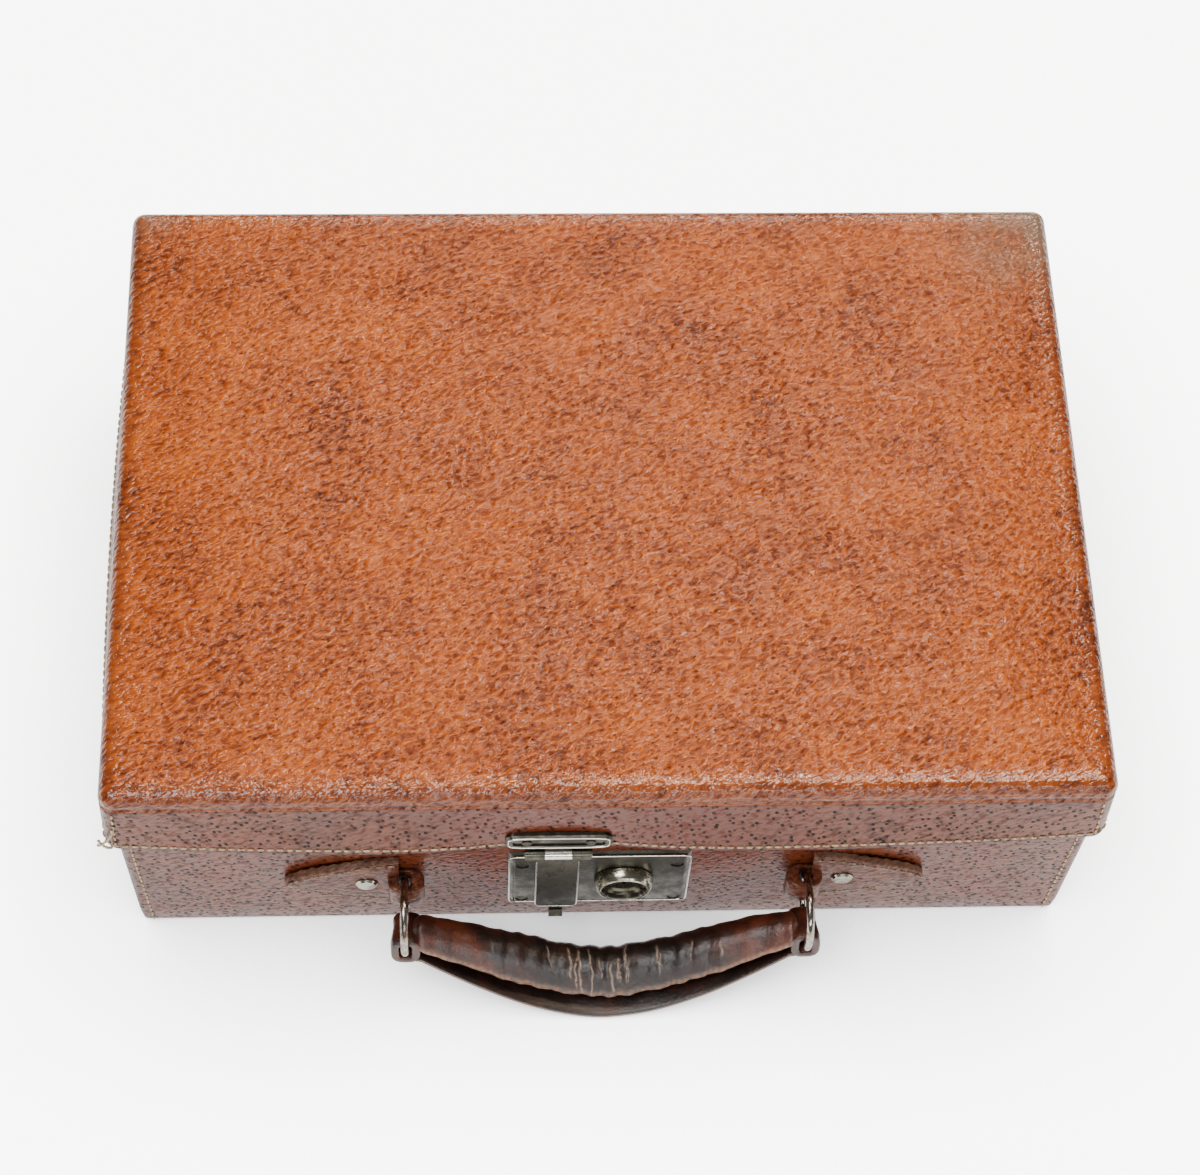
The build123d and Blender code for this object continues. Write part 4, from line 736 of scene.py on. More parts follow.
def sew(name, places, along, out, body, length, thick, material=linen_thread):
    """Copies one stitch to many places, given the thread's way and the surface's normal at each."""
    shape, faces = stitch_shape(length, thick)
    along = along / np.linalg.norm(along, axis=1, keepdims=True)
    out = out - along * np.sum(out * along, axis=1, keepdims=True)
    out = out / np.linalg.norm(out, axis=1, keepdims=True)
    side = np.cross(out, along)
    points = (places[:, None] + shape[None, :, :1] * along[:, None]
              + shape[None, :, 1:2] * side[:, None] + shape[None, :, 2:] * out[:, None])
    faces = faces + np.arange(len(places))[:, None, None] * len(shape)
    build_piece(name, points.reshape(-1, 3), faces.reshape(-1, 4), body, material)
    print(name, "stitches", len(places))


def distances(line):
    """Distance of each point along a line from the line's start."""
    return np.concatenate([[0], np.cumsum(np.linalg.norm(np.diff(line, axis=0), axis=1))])


def at_distances(line, run, want):
    """The line's points at wanted distances from its start."""
    return np.stack([np.interp(want, run, line[:, k]) for k in range(3)], axis=1)


def spaced(points, pitch):
    """Places at equal steps along a closed line of points, with the line's direction there."""
    loop = np.concatenate([points, points[:1]])
    run = distances(loop)
    want = np.linspace(0, run[-1], int(run[-1] // pitch), endpoint=False)
    places = at_distances(loop, run, want)
    return places, at_distances(loop, run, (want + 0.5) % run[-1]) - places


def lip_line(rise, proud):
    """The closed line round the lid at a height over the lip, proud of it, and its normals."""
    core, normal = rounded_outline(TOP_HALF, LID_CORNER_MM)
    z = LIP_Z + rise
    out = LID_CORNER_MM + LID_FLARE_MM * (TOP_Z - z) / (TOP_Z - LIP_Z) + proud
    row = [np.array([value]) for value in (out, z, 1.0)]
    line = lid_point(core, normal, *row, lip_bow(core, normal))[0]
    return line, np.concatenate([normal, np.zeros((len(normal), 1))], axis=1)


def sew_lip():
    """The row of stitches round the lip, left out behind the hasp's bar and the hinges."""
    line, normal = lip_line(LIP_SEAM_RISE_MM, 0.1)
    places, along = spaced(line, LIP_PITCH_MM)
    nearest = np.argmin(((places[:, None] - line[None]) ** 2).sum(-1), axis=1)
    bar_low, bar_high = span("hasp_lid_plate")
    x, front = places[:, 0], places[:, 1] < 0
    keep = ~((x > bar_low[0] - 1) & (x < bar_high[0] + 1) & front)
    keep &= ~((np.abs(np.abs(x) - HINGE_X) < HINGE_HALF_MM) & ~front)
    sew("lip_stitches", places[keep], along[keep], normal[nearest][keep], "lid", 2.5, 0.95)


sew_lip()

# %% [markdown]
# The panels meet at the corners, where a hand-sewn seam runs up each face, a few
# millimetres in from the edge. A row is a straight line of places, so it needs
# only its two ends and a pitch.

# %% Corner seams
SEAM_INSET_MM = 4.6
SEAM_PITCH_MM = 4.0


def wall_half(z):
    """Half width and half depth of the outer wall at a height: the base tapers, the lid flares."""
    if z < LIP_Z:
        return SHOULDER_HALF - BASE_TAPER_MM * (1 - z / SHOULDER_Z)
    return TOP_HALF + LID_FLARE_MM * (TOP_Z - z) / (TOP_Z - LIP_Z)


def sew_corners(name, body, low_z, high_z):
    """Upright rows of stitches on the front and back faces beside each corner."""
    heights = np.arange(low_z, high_z, SEAM_PITCH_MM)
    halves = np.array([wall_half(z) for z in heights]) + [-SEAM_INSET_MM, 0.1]
    places = np.concatenate([
        np.column_stack([side_x * halves[:, 0], side_y * halves[:, 1], heights])
        for side_x in (-1, 1) for side_y in (-1, 1)])
    along = np.repeat([[0.0, 0.0, 1.0]], len(places), axis=0)
    sew(name, places, along, np.sign(places) * [0.0, 1.0, 0.0], body, 2.7, 0.9)


sew_corners("lid_corner_stitches", "lid", LIP_Z + 4.0, CREASE_Z - 3.0)
sew_corners("base_corner_stitches", "base", 4.0, SHOULDER_Z - 2.0)

# %% [markdown]
# A thread that has come loose at the lid's front corner is a thin tube along a
# curve. The tube is a circle carried along a line: at each point the circle lies
# across the line's direction.

# %% Loose thread
ASKEW = [0.31, 0.17, 0.93]
THREAD_POINTS = 24
THREAD_ENDS_MM = (
    ((4.5, -0.4, 16), (3.0, -1.4, 11), (-0.2, -1.3, 6), (-1.8, 0.5, 2)),
    ((-1.2, -0.6, 8), (0.6, -1.5, 5), (2.0, -1.2, 3), (3.2, -0.6, 2)))


def circles(line, side, up, radius, count):
    """Grid of circles round the points of a line: radius times (cosine of side plus sine of up)."""
    angle = np.linspace(0, 2 * np.pi, count, endpoint=False)[None, :, None]
    radius = np.broadcast_to(radius, (len(line),))[:, None, None]
    side, up = (np.broadcast_to(way, line.shape)[:, None] for way in (side, up))
    return line[:, None] + radius * (np.cos(angle) * side + np.sin(angle) * up)


def rod(name, line, radius, around, body, material):
    """A round rod along a line, with closed ends."""
    ahead = np.gradient(line, axis=0)
    ahead = ahead / np.linalg.norm(ahead, axis=1, keepdims=True)
    side = np.cross(ahead, ASKEW)
    side = side / np.linalg.norm(side, axis=1, keepdims=True)
    points, faces, _ = capped_grid(circles(line, side, np.cross(side, ahead), radius, around))
    return build_piece(name, points, faces, body, material)


def smooth_line(points, steps):
    """A curve through a few points: a polynomial of the share of the way for each coordinate."""
    points = np.asarray(points, dtype=float)
    place = np.linspace(0, 1, len(points))
    t = np.linspace(0, 1, steps)
    curves = [np.polyval(np.polyfit(place, column, len(points) - 1), t) for column in points.T]
    return np.stack(curves, axis=1)


def loose_thread():
    """Two fraying ends of the corner seam, lying on the leather."""
    corner = [*-wall_half(LIP_Z + 8), LIP_Z]
    for number, steps in enumerate(THREAD_ENDS_MM):
        line = smooth_line(np.add(corner, steps), THREAD_POINTS)
        radius = 0.5 + 0.12 * np.sin(np.arange(THREAD_POINTS) * 1.9)
        rod(f"loose_thread_{number + 1}", line, radius, 8, "lid", linen_thread)


loose_thread()

# %% [markdown]
# The handle is a leather strap rolled round a cord core. Its two ends fold round
# the rings, and the roll lies on the inner side of the strap, closed by a seam
# that wear has left fraying. A pale painted highlight runs along the strap's outer
# edge. The path is the CAD model's: from the loops it eases out and down to the
# middle. Years of carrying have puckered the roll across, so small ripples run
# along it.

# %% Handle
RING_LOW, RING_HIGH = span("left_ring")
RING_Y, RING_Z = (RING_LOW[1] + RING_HIGH[1]) / 2, (RING_LOW[2] + RING_HIGH[2]) / 2
RING_X = (span("right_ring")[0][0] + span("right_ring")[1][0]) / 2
WIRE_MM = 1.5
RING_MEAN_MM = (RING_HIGH[2] - RING_LOW[2]) / 2 - WIRE_MM
LOOP_LEAN = math.radians(17.0)
LOOP_LEATHER_MM = 2.2
LOOP_HOLE_MM = 4.6
LOOP_HALF_MM = 7.5
LOOP_PLAY_MM = 0.4
LOOP_INNER_MM = math.sqrt((RING_MEAN_MM - WIRE_MM) ** 2 - LOOP_HALF_MM ** 2) - LOOP_PLAY_MM
LOOP_OUTER_MM = RING_MEAN_MM + WIRE_MM + LOOP_PLAY_MM
STRAP_END_X = RING_X - LOOP_HOLE_MM / 2 - 3.0
HANDLE_REACH_MM = 15.0
STRAP_THICK_MM = (2.2, 2.8)
STRAP_HALF_MM = (7.5, 9.3)
ROLL_RADIUS_MM = (6.4, 8.5)
ROLL_INSET_MM = 6.4
SEAM_ANGLE = math.radians(-10.0)
GRIP_AROUND = 64
GRIP_SHORT_MM, GRIP_ROUND_MM = 1.8, 5.0
FLOOR_GAP_MM = 0.3


def between(limits, share):
    """The value at a share of the way from the first limit to the second."""
    return limits[0] + (limits[1] - limits[0]) * share


def rounded_square(count, half_a, half_b, power):
    """A closed curve between an oval and a rectangle: halves over the power mean of cos and sin."""
    angle = np.linspace(0, 2 * np.pi, count, endpoint=False)
    scale = (np.abs(np.cos(angle)) ** power + np.abs(np.sin(angle)) ** power) ** (-1 / power)
    return np.stack([half_a * scale * np.cos(angle), half_b * scale * np.sin(angle)], axis=1)


def strap_path(x):
    """Middle of the strap at distances along X, its lean, and its share of the way to mid-span."""
    share = np.clip(1 - np.abs(x) / STRAP_END_X, 0, 1)
    ease = np.sin(share * np.pi / 2)
    down = LOOP_OUTER_MM + LOOP_LEATHER_MM / 2
    y = between((RING_Y - down * math.sin(LOOP_LEAN), RING_Y - HANDLE_REACH_MM), ease)
    lowest = FLOOR_GAP_MM + STRAP_THICK_MM[1] / 2
    z = between((RING_Z - down * math.cos(LOOP_LEAN), lowest), ease)
    return y, z, LOOP_LEAN * (1 - ease), share


def carried(x, y, z, lean, across, upward):
    """Places a section at each station: across runs out from the case, upward square to it."""
    out = np.stack([0 * lean, -np.cos(lean), np.sin(lean)], axis=1)[:, None]
    up = np.stack([0 * lean, np.sin(lean), np.cos(lean)], axis=1)[:, None]
    middle = np.stack([x, y, z], axis=1)[:, None]
    return middle + across[..., None] * out + upward[..., None] * up


def make_strap():
    """The flat strap: a rounded rectangle carried along the path, a little wavy at its outer edge,
    where a pale painted highlight runs.
    """
    x = np.linspace(-STRAP_END_X - 1.5, STRAP_END_X + 1.5, 150)
    y, z, lean, share = strap_path(x)
    section = rounded_square(44, 1, 1, 6)
    across = between(STRAP_HALF_MM, share)[:, None] * section[:, 0]
    upward = between(STRAP_THICK_MM, share)[:, None] / 2 * section[:, 1]
    waves = 0.25 * np.sin(x / 5.3) * np.cos(x / 13.7) * (1 - np.abs(x / STRAP_END_X).clip(0, 1))
    upward = upward + waves[:, None] * (section[:, 0] > 0.5)
    points, faces, kept = capped_grid(carried(x, y, z, lean, across, upward))
    angle = np.linspace(0, 2 * np.pi, 44, endpoint=False)
    outermost = np.tile(np.cos(angle), len(x) + 2)[kept]
    # Painted highlight: a pale line along the strap's outer edge.
    piece = build_piece("handle_band", points, faces, "handle", handle_leather,
                        {"frayed_and_highlight": 0.45 * smooth_step(outermost, 0.86, 0.95)})


def roll_frame(x):
    """Middle, lean and radius of the roll at distances along X."""
    y, z, lean, share = strap_path(x)
    ease = np.sin(np.clip(share * 1.6, 0, 1) * np.pi / 2)
    radius = between(ROLL_RADIUS_MM, ease)
    rise = radius + STRAP_THICK_MM[0] / 2 - 0.3
    inward = ROLL_INSET_MM * ease
    y = y + rise * np.sin(lean) + inward * np.cos(lean)
    z = z + rise * np.cos(lean) - inward * np.sin(lean)
    return y, z, lean, radius


def ripple(x, angle):
    """Puckers across the roll: sines of unlike lengths, deepest in the middle of the grip."""
    worn = np.exp(-(x / 48.0) ** 2)
    rows = np.sin(x / 1.35 + 1.3 * np.sin(x / 5.3) + 0.5 * np.sin(2 * angle))
    fine = np.sin(x / 0.62 + 2.0 * np.sin(x / 3.1) + 0.8 * np.sin(3 * angle))
    lumps = np.sin(x / 6.1 + 1.1 * np.cos(angle)) + 0.6 * np.sin(x / 3.3 - angle)
    return (0.06 + 0.26 * worn) * rows + 0.07 * worn * fine + 0.22 * lumps


def turned_from(start, angle):
    """An angle from a start, between minus a half turn and a half turn."""
    return (angle - start + np.pi) % (2 * np.pi) - np.pi


CRACK_SEED = 7
CRACK_COUNT = 17
CRACK_WIDTH_MM = 0.34


def crack_lines(x, angle):
    """How open the leather is: the nearest of a few wavering lines part way round the grip."""
    chance = np.random.default_rng(CRACK_SEED)
    torn = np.zeros_like(x)
    for _ in range(CRACK_COUNT):
        middle = chance.normal(9.0, 17.0)
        begin, end = np.radians(chance.uniform(-12, 50)), np.radians(chance.uniform(70, 140))
        lean, wave, phase = chance.normal(0, 0.7), chance.uniform(0.2, 0.7), chance.uniform(0, 6.3)
        turn = turned_from(0.0, angle)
        line = middle + lean * turn + wave * np.sin(3.1 * turn + phase)
        line = line + 0.2 * np.sin(9.0 * turn + phase)
        width = CRACK_WIDTH_MM * chance.uniform(0.5, 1.3)
        reach = smooth_step(turn, begin, begin + 0.3) * (1 - smooth_step(turn, end - 0.3, end))
        torn = np.maximum(torn, np.exp(-((x - line) / width) ** 2) * reach)
    return torn


def make_roll():
    """The rolled grip: a pear-shaped section, drawn out to the seam, carried along its own path."""
    end = RING_X - GRIP_SHORT_MM
    x = np.linspace(-end, end, 520)
    y, z, lean, radius = roll_frame(x)
    past = (np.abs(x) - (end - GRIP_ROUND_MM)).clip(0, GRIP_ROUND_MM)
    close = np.sqrt(np.clip(1 - past ** 2 / 25.5, 0.02, 1))
    angle = np.linspace(0, 2 * np.pi, GRIP_AROUND, endpoint=False)
    xx, aa = x[:, None], angle[None, :]
    pear = 1 + 0.24 * np.exp(-(turned_from(SEAM_ANGLE, aa) / 0.42) ** 2)
    reach = radius[:, None] * close[:, None] * pear
    reach = reach + ripple(xx, aa) * close[:, None]
    section = carried(x, y, z, lean, reach * np.cos(aa), reach * np.sin(aa))
    points, faces, kept = capped_grid(section)
    whole_x = np.repeat(np.concatenate([x[:1], x, x[-1:]]), GRIP_AROUND)[kept]
    whole_angle = np.tile(angle, len(x) + 2)[kept]
    seam = np.exp(-(turned_from(SEAM_ANGLE, whole_angle) / 0.2) ** 2)
    jagged = 0.5 + 0.5 * np.sin(whole_x * 2.3 + 2 * np.sin(whole_x / 2.1))
    paint = {
        "cracks": crack_lines(whole_x, whole_angle),
        "chestnut": smooth_step(np.abs(whole_x), 22.0, 60.0),
        "frayed_and_highlight": np.clip(seam * (0.45 + 0.55 * jagged), 0, 0.85),
    }
    piece = build_piece("handle_grip", points, faces, "handle", handle_leather, paint)
    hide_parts("handle_strap", "handle_roll")
    print("grip points", len(points), "largest radius", round(float(radius.max()), 1), "mm")


# Rows of a sleeve's wall: share of the way in from the outside, and place along the half length
SLEEVE_ROWS = (
    (0, -0.93), (0, -0.5), (0, 0), (0, 0.5), (0, 0.93), (0.12, 0.985), (0.5, 1), (0.88, 0.985),
    (1, 0.93), (1, 0), (1, -0.93), (0.88, -0.985), (0.5, -1), (0.12, -0.985))


def sleeve(outer, hole, half):
    """A loop of leather between two closed curves, as long as twice 'half', with rolled edges."""
    share, along = np.array(SLEEVE_ROWS).T[..., None]
    flat = outer[:, None] * (1 - share) + hole[:, None] * share
    depth = np.broadcast_to(along * half, (len(outer), len(along), 1))
    return np.concatenate([flat, depth], axis=-1)


def make_loops():
    """The strap's folded ends round the rings, in the frame that leans with the handle."""
    middle_down = (LOOP_INNER_MM + LOOP_OUTER_MM) / 2
    gap = LOOP_OUTER_MM - LOOP_INNER_MM
    outer_x = RING_X + LOOP_HOLE_MM / 2 + LOOP_LEATHER_MM
    width = outer_x - STRAP_END_X
    outer = rounded_square(72, width / 2 + 0.5, gap / 2 + LOOP_LEATHER_MM + 0.3, 3.0)
    outer[:, 0] += outer_x - width / 2
    hole = rounded_square(72, LOOP_HOLE_MM / 2, gap / 2, 4.0)
    hole[:, 0] += RING_X
    grid = sleeve(outer, hole, LOOP_HALF_MM)
    grid[..., 0] += 0.5 * np.sin(grid[..., 2] / 2.7) * (np.abs(grid[..., 0] - RING_X) > 3.0)
    for side, name in ((-1, "left_handle_loop"), (1, "right_handle_loop")):
        x, up, out = side * grid[..., 0], grid[..., 1] - middle_down, grid[..., 2]
        y = RING_Y + up * math.sin(LOOP_LEAN) - out * math.cos(LOOP_LEAN)
        z = RING_Z + up * math.cos(LOOP_LEAN) + out * math.sin(LOOP_LEAN)
        points, faces = ring_grid(np.stack([x, y, z], axis=-1))
        chestnut = np.full(len(points), 0.8)
        piece = build_piece(name, points, faces, "handle", handle_leather, {"chestnut": chestnut})


make_strap()
make_roll()
make_loops()

# %% [markdown]
# A chape is a leaf of leather folded round a ring and riveted to the case. Its
# two layers are stitched along the edge, which pulls the leather into small
# puckers. The leaf is a thin pad whose half height shrinks to the tip, and the
# nose is a short sleeve round the ring's wire.

# %% Chapes
CHAPE_START_X, CHAPE_TIP_X = 75.5, span("right_chape")[1][0]
CHAPE_HALF_MM = 17.5
CHAPE_THICK_MM = 3.0
CHAPE_Z = 42.0
CHAPE_POWER = 1.43
CHAPE_PITCH_MM = 4.0
CHAPE_SEAM_MM = 2.4
CHAPE_LIFT_MM, CHAPE_LIFT_X = 1.1, (84.0, 100.0)
RIVET_X = 87.5
RIVET_SEAT_MM = 4.8
NOSE_TOP_MM = 9.5
NOSE_HALF_MM = 6.6
NOSE_HOLE_MM = (1.5, 7.3)
NOSE_HOLE_WIDTH_MM = 4.8
WALL_TILT = math.atan2(BASE_TAPER_MM, SHOULDER_Z)


def on_wall(x, up, out):
    """Point from its place along, up and out of the tapered front wall."""
    foot = -(SHOULDER_HALF[1] - BASE_TAPER_MM)
    y = foot - up * math.sin(WALL_TILT) - out * math.cos(WALL_TILT)
    z = up * math.cos(WALL_TILT) - out * math.sin(WALL_TILT)
    return np.stack(np.broadcast_arrays(x, y, z), axis=-1)


def chape_half(share):
    """Half height of the leaf from its root (0) to its tip (1)."""
    return CHAPE_HALF_MM * np.sqrt(np.clip(1 - share ** CHAPE_POWER, 0.0015, 1))


def chape_leaf():
    """The leaf's places along, up and out of the wall, and how worn each point is."""
    share = np.sin(np.linspace(0, np.pi / 2, 70))
    face = np.sin(np.linspace(-np.pi / 2, np.pi / 2, 41))
    under = np.linspace(1, -1, 9)[1:-1] * 0.985
    half, across = np.meshgrid(chape_half(share), np.concatenate([face, under]), indexing="ij")
    x = np.broadcast_to(between((CHAPE_START_X, CHAPE_TIP_X), share)[:, None], half.shape)
    from_edge = half * (1 - np.abs(across))
    groove = 0.55 * np.exp(-((from_edge - CHAPE_SEAM_MM) / 0.8) ** 2)
    pucker = 0.28 * np.sin(2 * np.pi * x / CHAPE_PITCH_MM) * np.exp(-(from_edge / 2.6) ** 2)
    crown = CHAPE_THICK_MM * (1 - np.exp(-from_edge / 0.55)) + 0.5 * (1 - across ** 2)
    lifted = CHAPE_LIFT_MM * smooth_step(across, 0.55, 1.0) * smooth_step(x, *CHAPE_LIFT_X)
    from_rivet = np.hypot(x - RIVET_X, half * across)
    seat = 0.8 * np.exp(-(from_rivet / RIVET_SEAT_MM) ** 4)
    out = crown - groove + pucker + lifted - seat
    worn = 0.55 * np.exp(-(from_edge / 1.3) ** 2)
    out[:, len(face):], worn[:, len(face):] = 0.04, 0
    return x, CHAPE_Z + half * across, out, np.concatenate([worn[:1], worn, worn[-1:]]).ravel()


def chape_nose():
    """The nose: a short sleeve round the ring's wire, as places along, out and up."""
    outer = rounded_square(60, NOSE_HALF_MM, NOSE_TOP_MM / 2, 2.6)
    outer += [RING_X - 0.6, NOSE_TOP_MM / 2 + 0.05]
    low, high = NOSE_HOLE_MM
    hole = rounded_square(60, NOSE_HOLE_WIDTH_MM / 2, (high - low) / 2, 3.0)
    return sleeve(outer, hole + [RING_X, (low + high) / 2], NOSE_HALF_MM)


def sew_chape(name, side, edge):
    """One row of stitches just inside a leaf's upper (1) or lower (-1) edge."""
    t = np.linspace(0.02, 0.97, 400)
    x = between((CHAPE_START_X, CHAPE_TIP_X), t)
    lift = CHAPE_LIFT_MM * smooth_step(x, *CHAPE_LIFT_X) * (edge > 0)
    up = CHAPE_Z + edge * (chape_half(t) - CHAPE_SEAM_MM)
    line = on_wall(side * x, up, CHAPE_THICK_MM - 0.1 + lift)
    run = distances(line)
    want = np.arange(2.0, run[-1], CHAPE_PITCH_MM)
    places, ahead = at_distances(line, run, want), at_distances(line, run, want + 0.5)
    normal = np.repeat([[0.0, -1.0, 0.0]], len(places), axis=0)
    sew(name, places, ahead - places, normal, "base", 2.6, 0.8, dark_thread)


def make_chapes():
    """Leaf, nose and edge stitches of both chapes."""
    x, up, out, worn = chape_leaf()
    nose = chape_nose()
    for side, label in ((-1, "left"), (1, "right")):
        points, faces, kept = capped_grid(on_wall(side * x, up, out))
        leaf = build_piece(f"{label}_chape_leaf", points, faces, "base", chape_pigskin,
                           {"wear": worn[kept]})
        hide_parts(f"{label}_chape")
        points, faces = ring_grid(on_wall(side * nose[..., 0], CHAPE_Z + nose[..., 2], nose[..., 1]))
        loop = build_piece(f"{label}_chape_nose", points, faces, "base", chape_pigskin)
        for edge, edge_name in ((1, "upper"), (-1, "lower")):
            sew_chape(f"{label}_chape_{edge_name}_stitches", side, edge)


make_chapes()

# %% [markdown]
# The lock's knob was turned on a lathe: a flank, a rolled rim and a dish with the
# key barrel at its bottom. It is one outline carried round the lock's axis. The
# dish holds dirt and the rim is rubbed bright, so the outline's points say which
# is which.

# %% Knob
KNOB_X = 6.9
LOCK_Z = 41.1
PLATE_X = -2.3
PLATE_HALF_MM = (33.0, 20.9)
PLATE_RISE_MM = 2.2
EDGE_RADIUS_MM = 0.34
BAR_HALF_MM = (18.0, 3.8)
BAR_Z = LIP_Z + 4.95
BAR_FACE_Y = -130.5
HASP_AXIS_MM = (-130.15, 73.4)
KNUCKLE_HALF_MM = 4.85
KNUCKLE_RADIUS_MM = 2.27
FLAP_HALF_MM, FLAP_CORNER_MM = 7.6, 2.6
FLAP_DROP_MM, FLAP_FACE_MM = (10.0, 49.6), 1.62
KNOB_AROUND = 96
# Radius from the axis and depth out of the wall, round the knob's cut section
KNOB_OUTLINE_MM = (
    (2.35, 3.5), (2.35, 0.5), (3.4, 0.5), (3.4, 2.3), (10.9, 2.3), (11.1, 2.7), (10.95, 3.6),
    (10.7, 4.6), (10.4, 5.5), (10.0, 6.3), (9.55, 6.9), (9.0, 7.15), (8.45, 6.95), (8.1, 6.3),
    (7.6, 5.3), (6.8, 4.5), (5.6, 3.9), (4.2, 3.6), (3.0, 3.5))


def make_knob():
    """The knob, turned about the lock's axis: radius times (cosine, sine), and out by its depth."""
    outline = np.array(KNOB_OUTLINE_MM)
    corner = np.repeat(np.arange(len(outline)), 3)
    share = np.tile([0.0, 0.08, 0.92], len(outline))[:, None]
    rows = outline[corner] * (1 - share) + np.roll(outline, -1, axis=0)[corner] * share
    radius, depth = rows.T[..., None]
    angle = np.linspace(0, 2 * np.pi, KNOB_AROUND, endpoint=False)
    points, faces = ring_grid(on_wall(
        KNOB_X + radius * np.cos(angle), LOCK_Z + radius * np.sin(angle), depth))
    dish = (radius < 8.3) & (depth > 3.3)
    piece = build_piece("lock_knob", points, faces, "lock slide", cast_nickel,
                        {"dirt_and_shade": np.repeat(0.8 * dish, KNOB_AROUND)})
    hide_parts("lock_button")
    print("knob points", len(points))


def flap_edge():
    """The edge of the hasp's flap, rubbed and made pale as a painted highlight: a bead down one side,
    round the foot and up the other.
    """
    high = span("hasp_flap")[1]
    front = high[1] - FLAP_FACE_MM
    top_z, bottom_z = high[2] - FLAP_DROP_MM
    turn = np.linspace(0, np.pi / 2, 8)
    left = np.stack([
        HASP_X - FLAP_HALF_MM + FLAP_CORNER_MM * (1 - np.cos(turn)), np.full(8, front),
        bottom_z + FLAP_CORNER_MM * (1 - np.sin(turn))], axis=1)
    right = left[::-1] * [-1, 1, 1] + [2 * HASP_X, 0, 0]
    ends = [[[HASP_X + side * FLAP_HALF_MM, front, top_z]] for side in (-1, 1)]
    line = np.concatenate([ends[0], left, right, ends[1]])
    rod("hasp_flap_edge", line, 0.28, 8, "hasp", rubbed_highlight_nickel)


def bead_loop(name, line, out, body):
    """A bright bead round a closed line: small circles across it, in the plane that holds 'out'."""
    ahead = np.roll(line, -1, axis=0) - np.roll(line, 1, axis=0)
    ahead = ahead / np.linalg.norm(ahead, axis=1, keepdims=True)
    points, faces = ring_grid(circles(line, np.cross(ahead, out), out, EDGE_RADIUS_MM, 8))
    build_piece(name, points, faces, body, rubbed_highlight_nickel)


def fitting_edges():
    """The rims of the lock plate and of the hasp's bar, rubbed and made pale as a painted highlight.
    """
    x, up = rounded_square(120, *PLATE_HALF_MM, 40.0).T
    line = on_wall(PLATE_X + x, LOCK_Z + up, PLATE_RISE_MM - 0.12)
    bead_loop("lock_plate_bevel", line, on_wall(0.0, 0.0, 1.0) - on_wall(0.0, 0.0, 0.0), "base")
    x, up = rounded_square(120, *BAR_HALF_MM, 5.0).T
    line = np.stack([HASP_X + x, np.full(120, BAR_FACE_Y), BAR_Z + up], axis=1)
    bead_loop("hasp_bar_bevel", line, np.array([0.0, -1.0, 0.0]), "lid")


def hasp_knuckle():
    """The middle knuckle of the hasp, rubbed by fingers and made pale as a painted highlight: a round
    bar on the hinge's axis.
    """
    ends = [[HASP_X + side * KNUCKLE_HALF_MM, *HASP_AXIS_MM] for side in (-1, 1)]
    line = np.linspace(*ends, 6)
    rod("hasp_knuckle", line, KNUCKLE_RADIUS_MM, 32, "hasp", rubbed_highlight_nickel)


make_knob()
hasp_knuckle()
fitting_edges()
flap_edge()

# %% [markdown]
# The other fittings keep their CAD solids, which are already true to the metal.
# They only need a finish, so each node's own material slots are filled with it.

# %% Finishes on the frame's own solids


def finish_nodes(material, *nodes):
    """Puts one finish into every material slot of the named CAD nodes."""
    for name in nodes:
        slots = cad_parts[name].data.materials
        for number in range(len(slots)):
            slots[number] = material


finish_nodes(pine, *[f"base_{side}_board" for side in WALLS + ("floor",)])
finish_nodes(skiver, "base_lining")
finish_nodes(chape_pigskin, "base_rim_binding")
finish_nodes(plate_nickel, "lock_plate", "hasp_flap", "hasp_lid_plate", "hinge_base_leaves",
             "hinge_lid_leaves")
finish_nodes(cast_nickel, "hasp_staple", "chape_rivets", "hinge_base_rivets", "hinge_lid_rivets")
finish_nodes(dark_nickel, "hasp_rivets", "lock_rivets")
finish_nodes(ring_nickel, "left_ring", "right_ring")
finish_nodes(plain_steel, "lock_case", "lock_spring", "lock_bolt", "hasp_pin", "hinge_pins",
             "key_barrel")
finish_nodes(hemp, "handle_core")
print("nodes finished:", sum(len(o.data.materials) > 0 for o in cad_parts.values()))

# %% [markdown]
# Light decides how leather reads. A glowing floor and a dim room fill the
# shadows, and the floor that the camera sees carries a painted shadow round the
# case. Two long warm strips behind the case put a sheen on the top without
# hiding its colour, a small box sharpens it, and one in front wakes the metal.

# %% Floor and light
FLOOR_HALF_MM, FLOOR_DROP_MM = 3000.0, 0.05
FLOOR_GLOW, FLOOR_SEEN = 1.05, 6.5
WARM = "#ffe3c6"


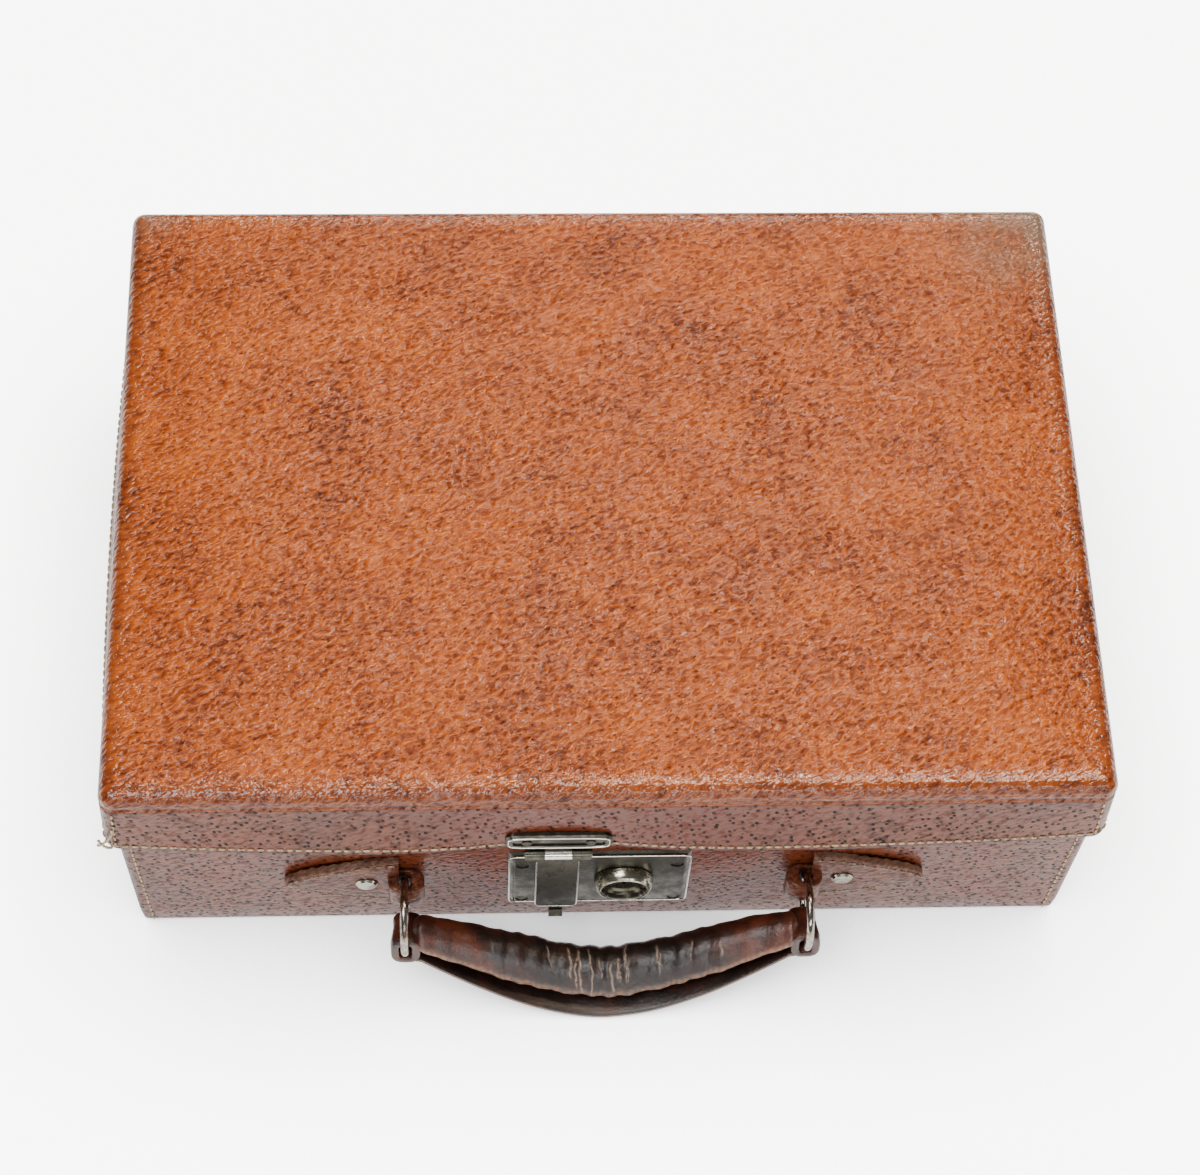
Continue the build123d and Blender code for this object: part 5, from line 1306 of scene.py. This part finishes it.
def stage_floor():
    """A wide pale floor just under the case, with a painted shadow round the case where the camera
    sees it.
    """
    corners = np.array([[-1, -1], [1, -1], [1, 1], [-1, 1]]) * FLOOR_HALF_MM
    corners = np.column_stack([corners, np.full(4, -FLOOR_DROP_MM)]) * MM
    mesh = bpy.data.meshes.new("floor")
    mesh.from_pydata(corners.tolist(), [], [(0, 1, 2, 3)])
    floor = bpy.data.objects.new("floor", mesh)
    bpy.context.scene.collection.objects.link(floor)
    material, tree = new_tree("white paper sweep")
    seen = add(tree, "LightPath", out="Is Camera Ray")
    # Painted shadow: the glow that the camera sees drops where the case and handle are near.
    shadow_ao = add(tree, "AmbientOcclusion", {"Distance": 0.09}, out="AO", samples=8)
    bright = add(tree, "MapRange", {
        "Value": shadow_ao, "From Min": 0.3, "To Min": 0.5, "To Max": FLOOR_SEEN})
    glow = add(tree, "MapRange", {"Value": seen, "To Min": FLOOR_GLOW, "To Max": bright})
    shader = add(tree, "BsdfPrincipled", {
        "Base Color": linear("#f4f5f7"), "Roughness": 0.9,
        "Emission Color": linear("#ffffff"), "Emission Strength": glow})
    add(tree, "OutputMaterial", {"Surface": shader})
    mesh.materials.append(material)


def soft_box(name, place, aim, size, power, colour="#ffffff"):
    """A rectangular lamp at a place in metres, aimed at a point."""
    data = bpy.data.lights.new(name, "AREA")
    data.shape = "RECTANGLE"
    data.size, data.size_y = size
    data.energy = power
    data.color = linear(colour)[:3]
    back = np.array(place) - np.array(aim)
    back = back / np.linalg.norm(back)
    right = np.cross([0, 0, 1.0], back)
    right = right / np.linalg.norm(right)
    put_in_scene(data, np.stack([right, np.cross(back, right), back], axis=1), place)


def light_room(strength):
    """An even white room."""
    world = bpy.data.worlds.new("white room")
    world.use_nodes = True
    background = world.node_tree.nodes["Background"]
    background.inputs["Color"].default_value = (1.0, 1.0, 1.0, 1.0)
    background.inputs["Strength"].default_value = strength
    bpy.context.scene.world = world


stage_floor()
light_room(0.2)
soft_box("key soft box", (-0.7, -0.6, 2.1), (0.0, 0.0, 0.05), (1.0, 1.0), 34.0)
soft_box("overhead strip", (0.25, 0.4, 2.0), (0.05, -0.1, 0.1), (1.5, 0.24), 26.0, WARM)
soft_box("low back strip", (0.3, 1.9, 1.55), (0.0, 0.0, 0.1), (1.6, 0.22), 30.0, WARM)
soft_box("gloss soft box", (0.46, 0.72, 1.9), (0.1, -0.1, 0.1), (0.34, 0.16), 10.0)
soft_box("front soft box", (0.2, -1.5, 0.85), (0.0, -0.1, 0.06), (1.4, 0.3), 13.0)
print("lamps:", len(bpy.data.lights))
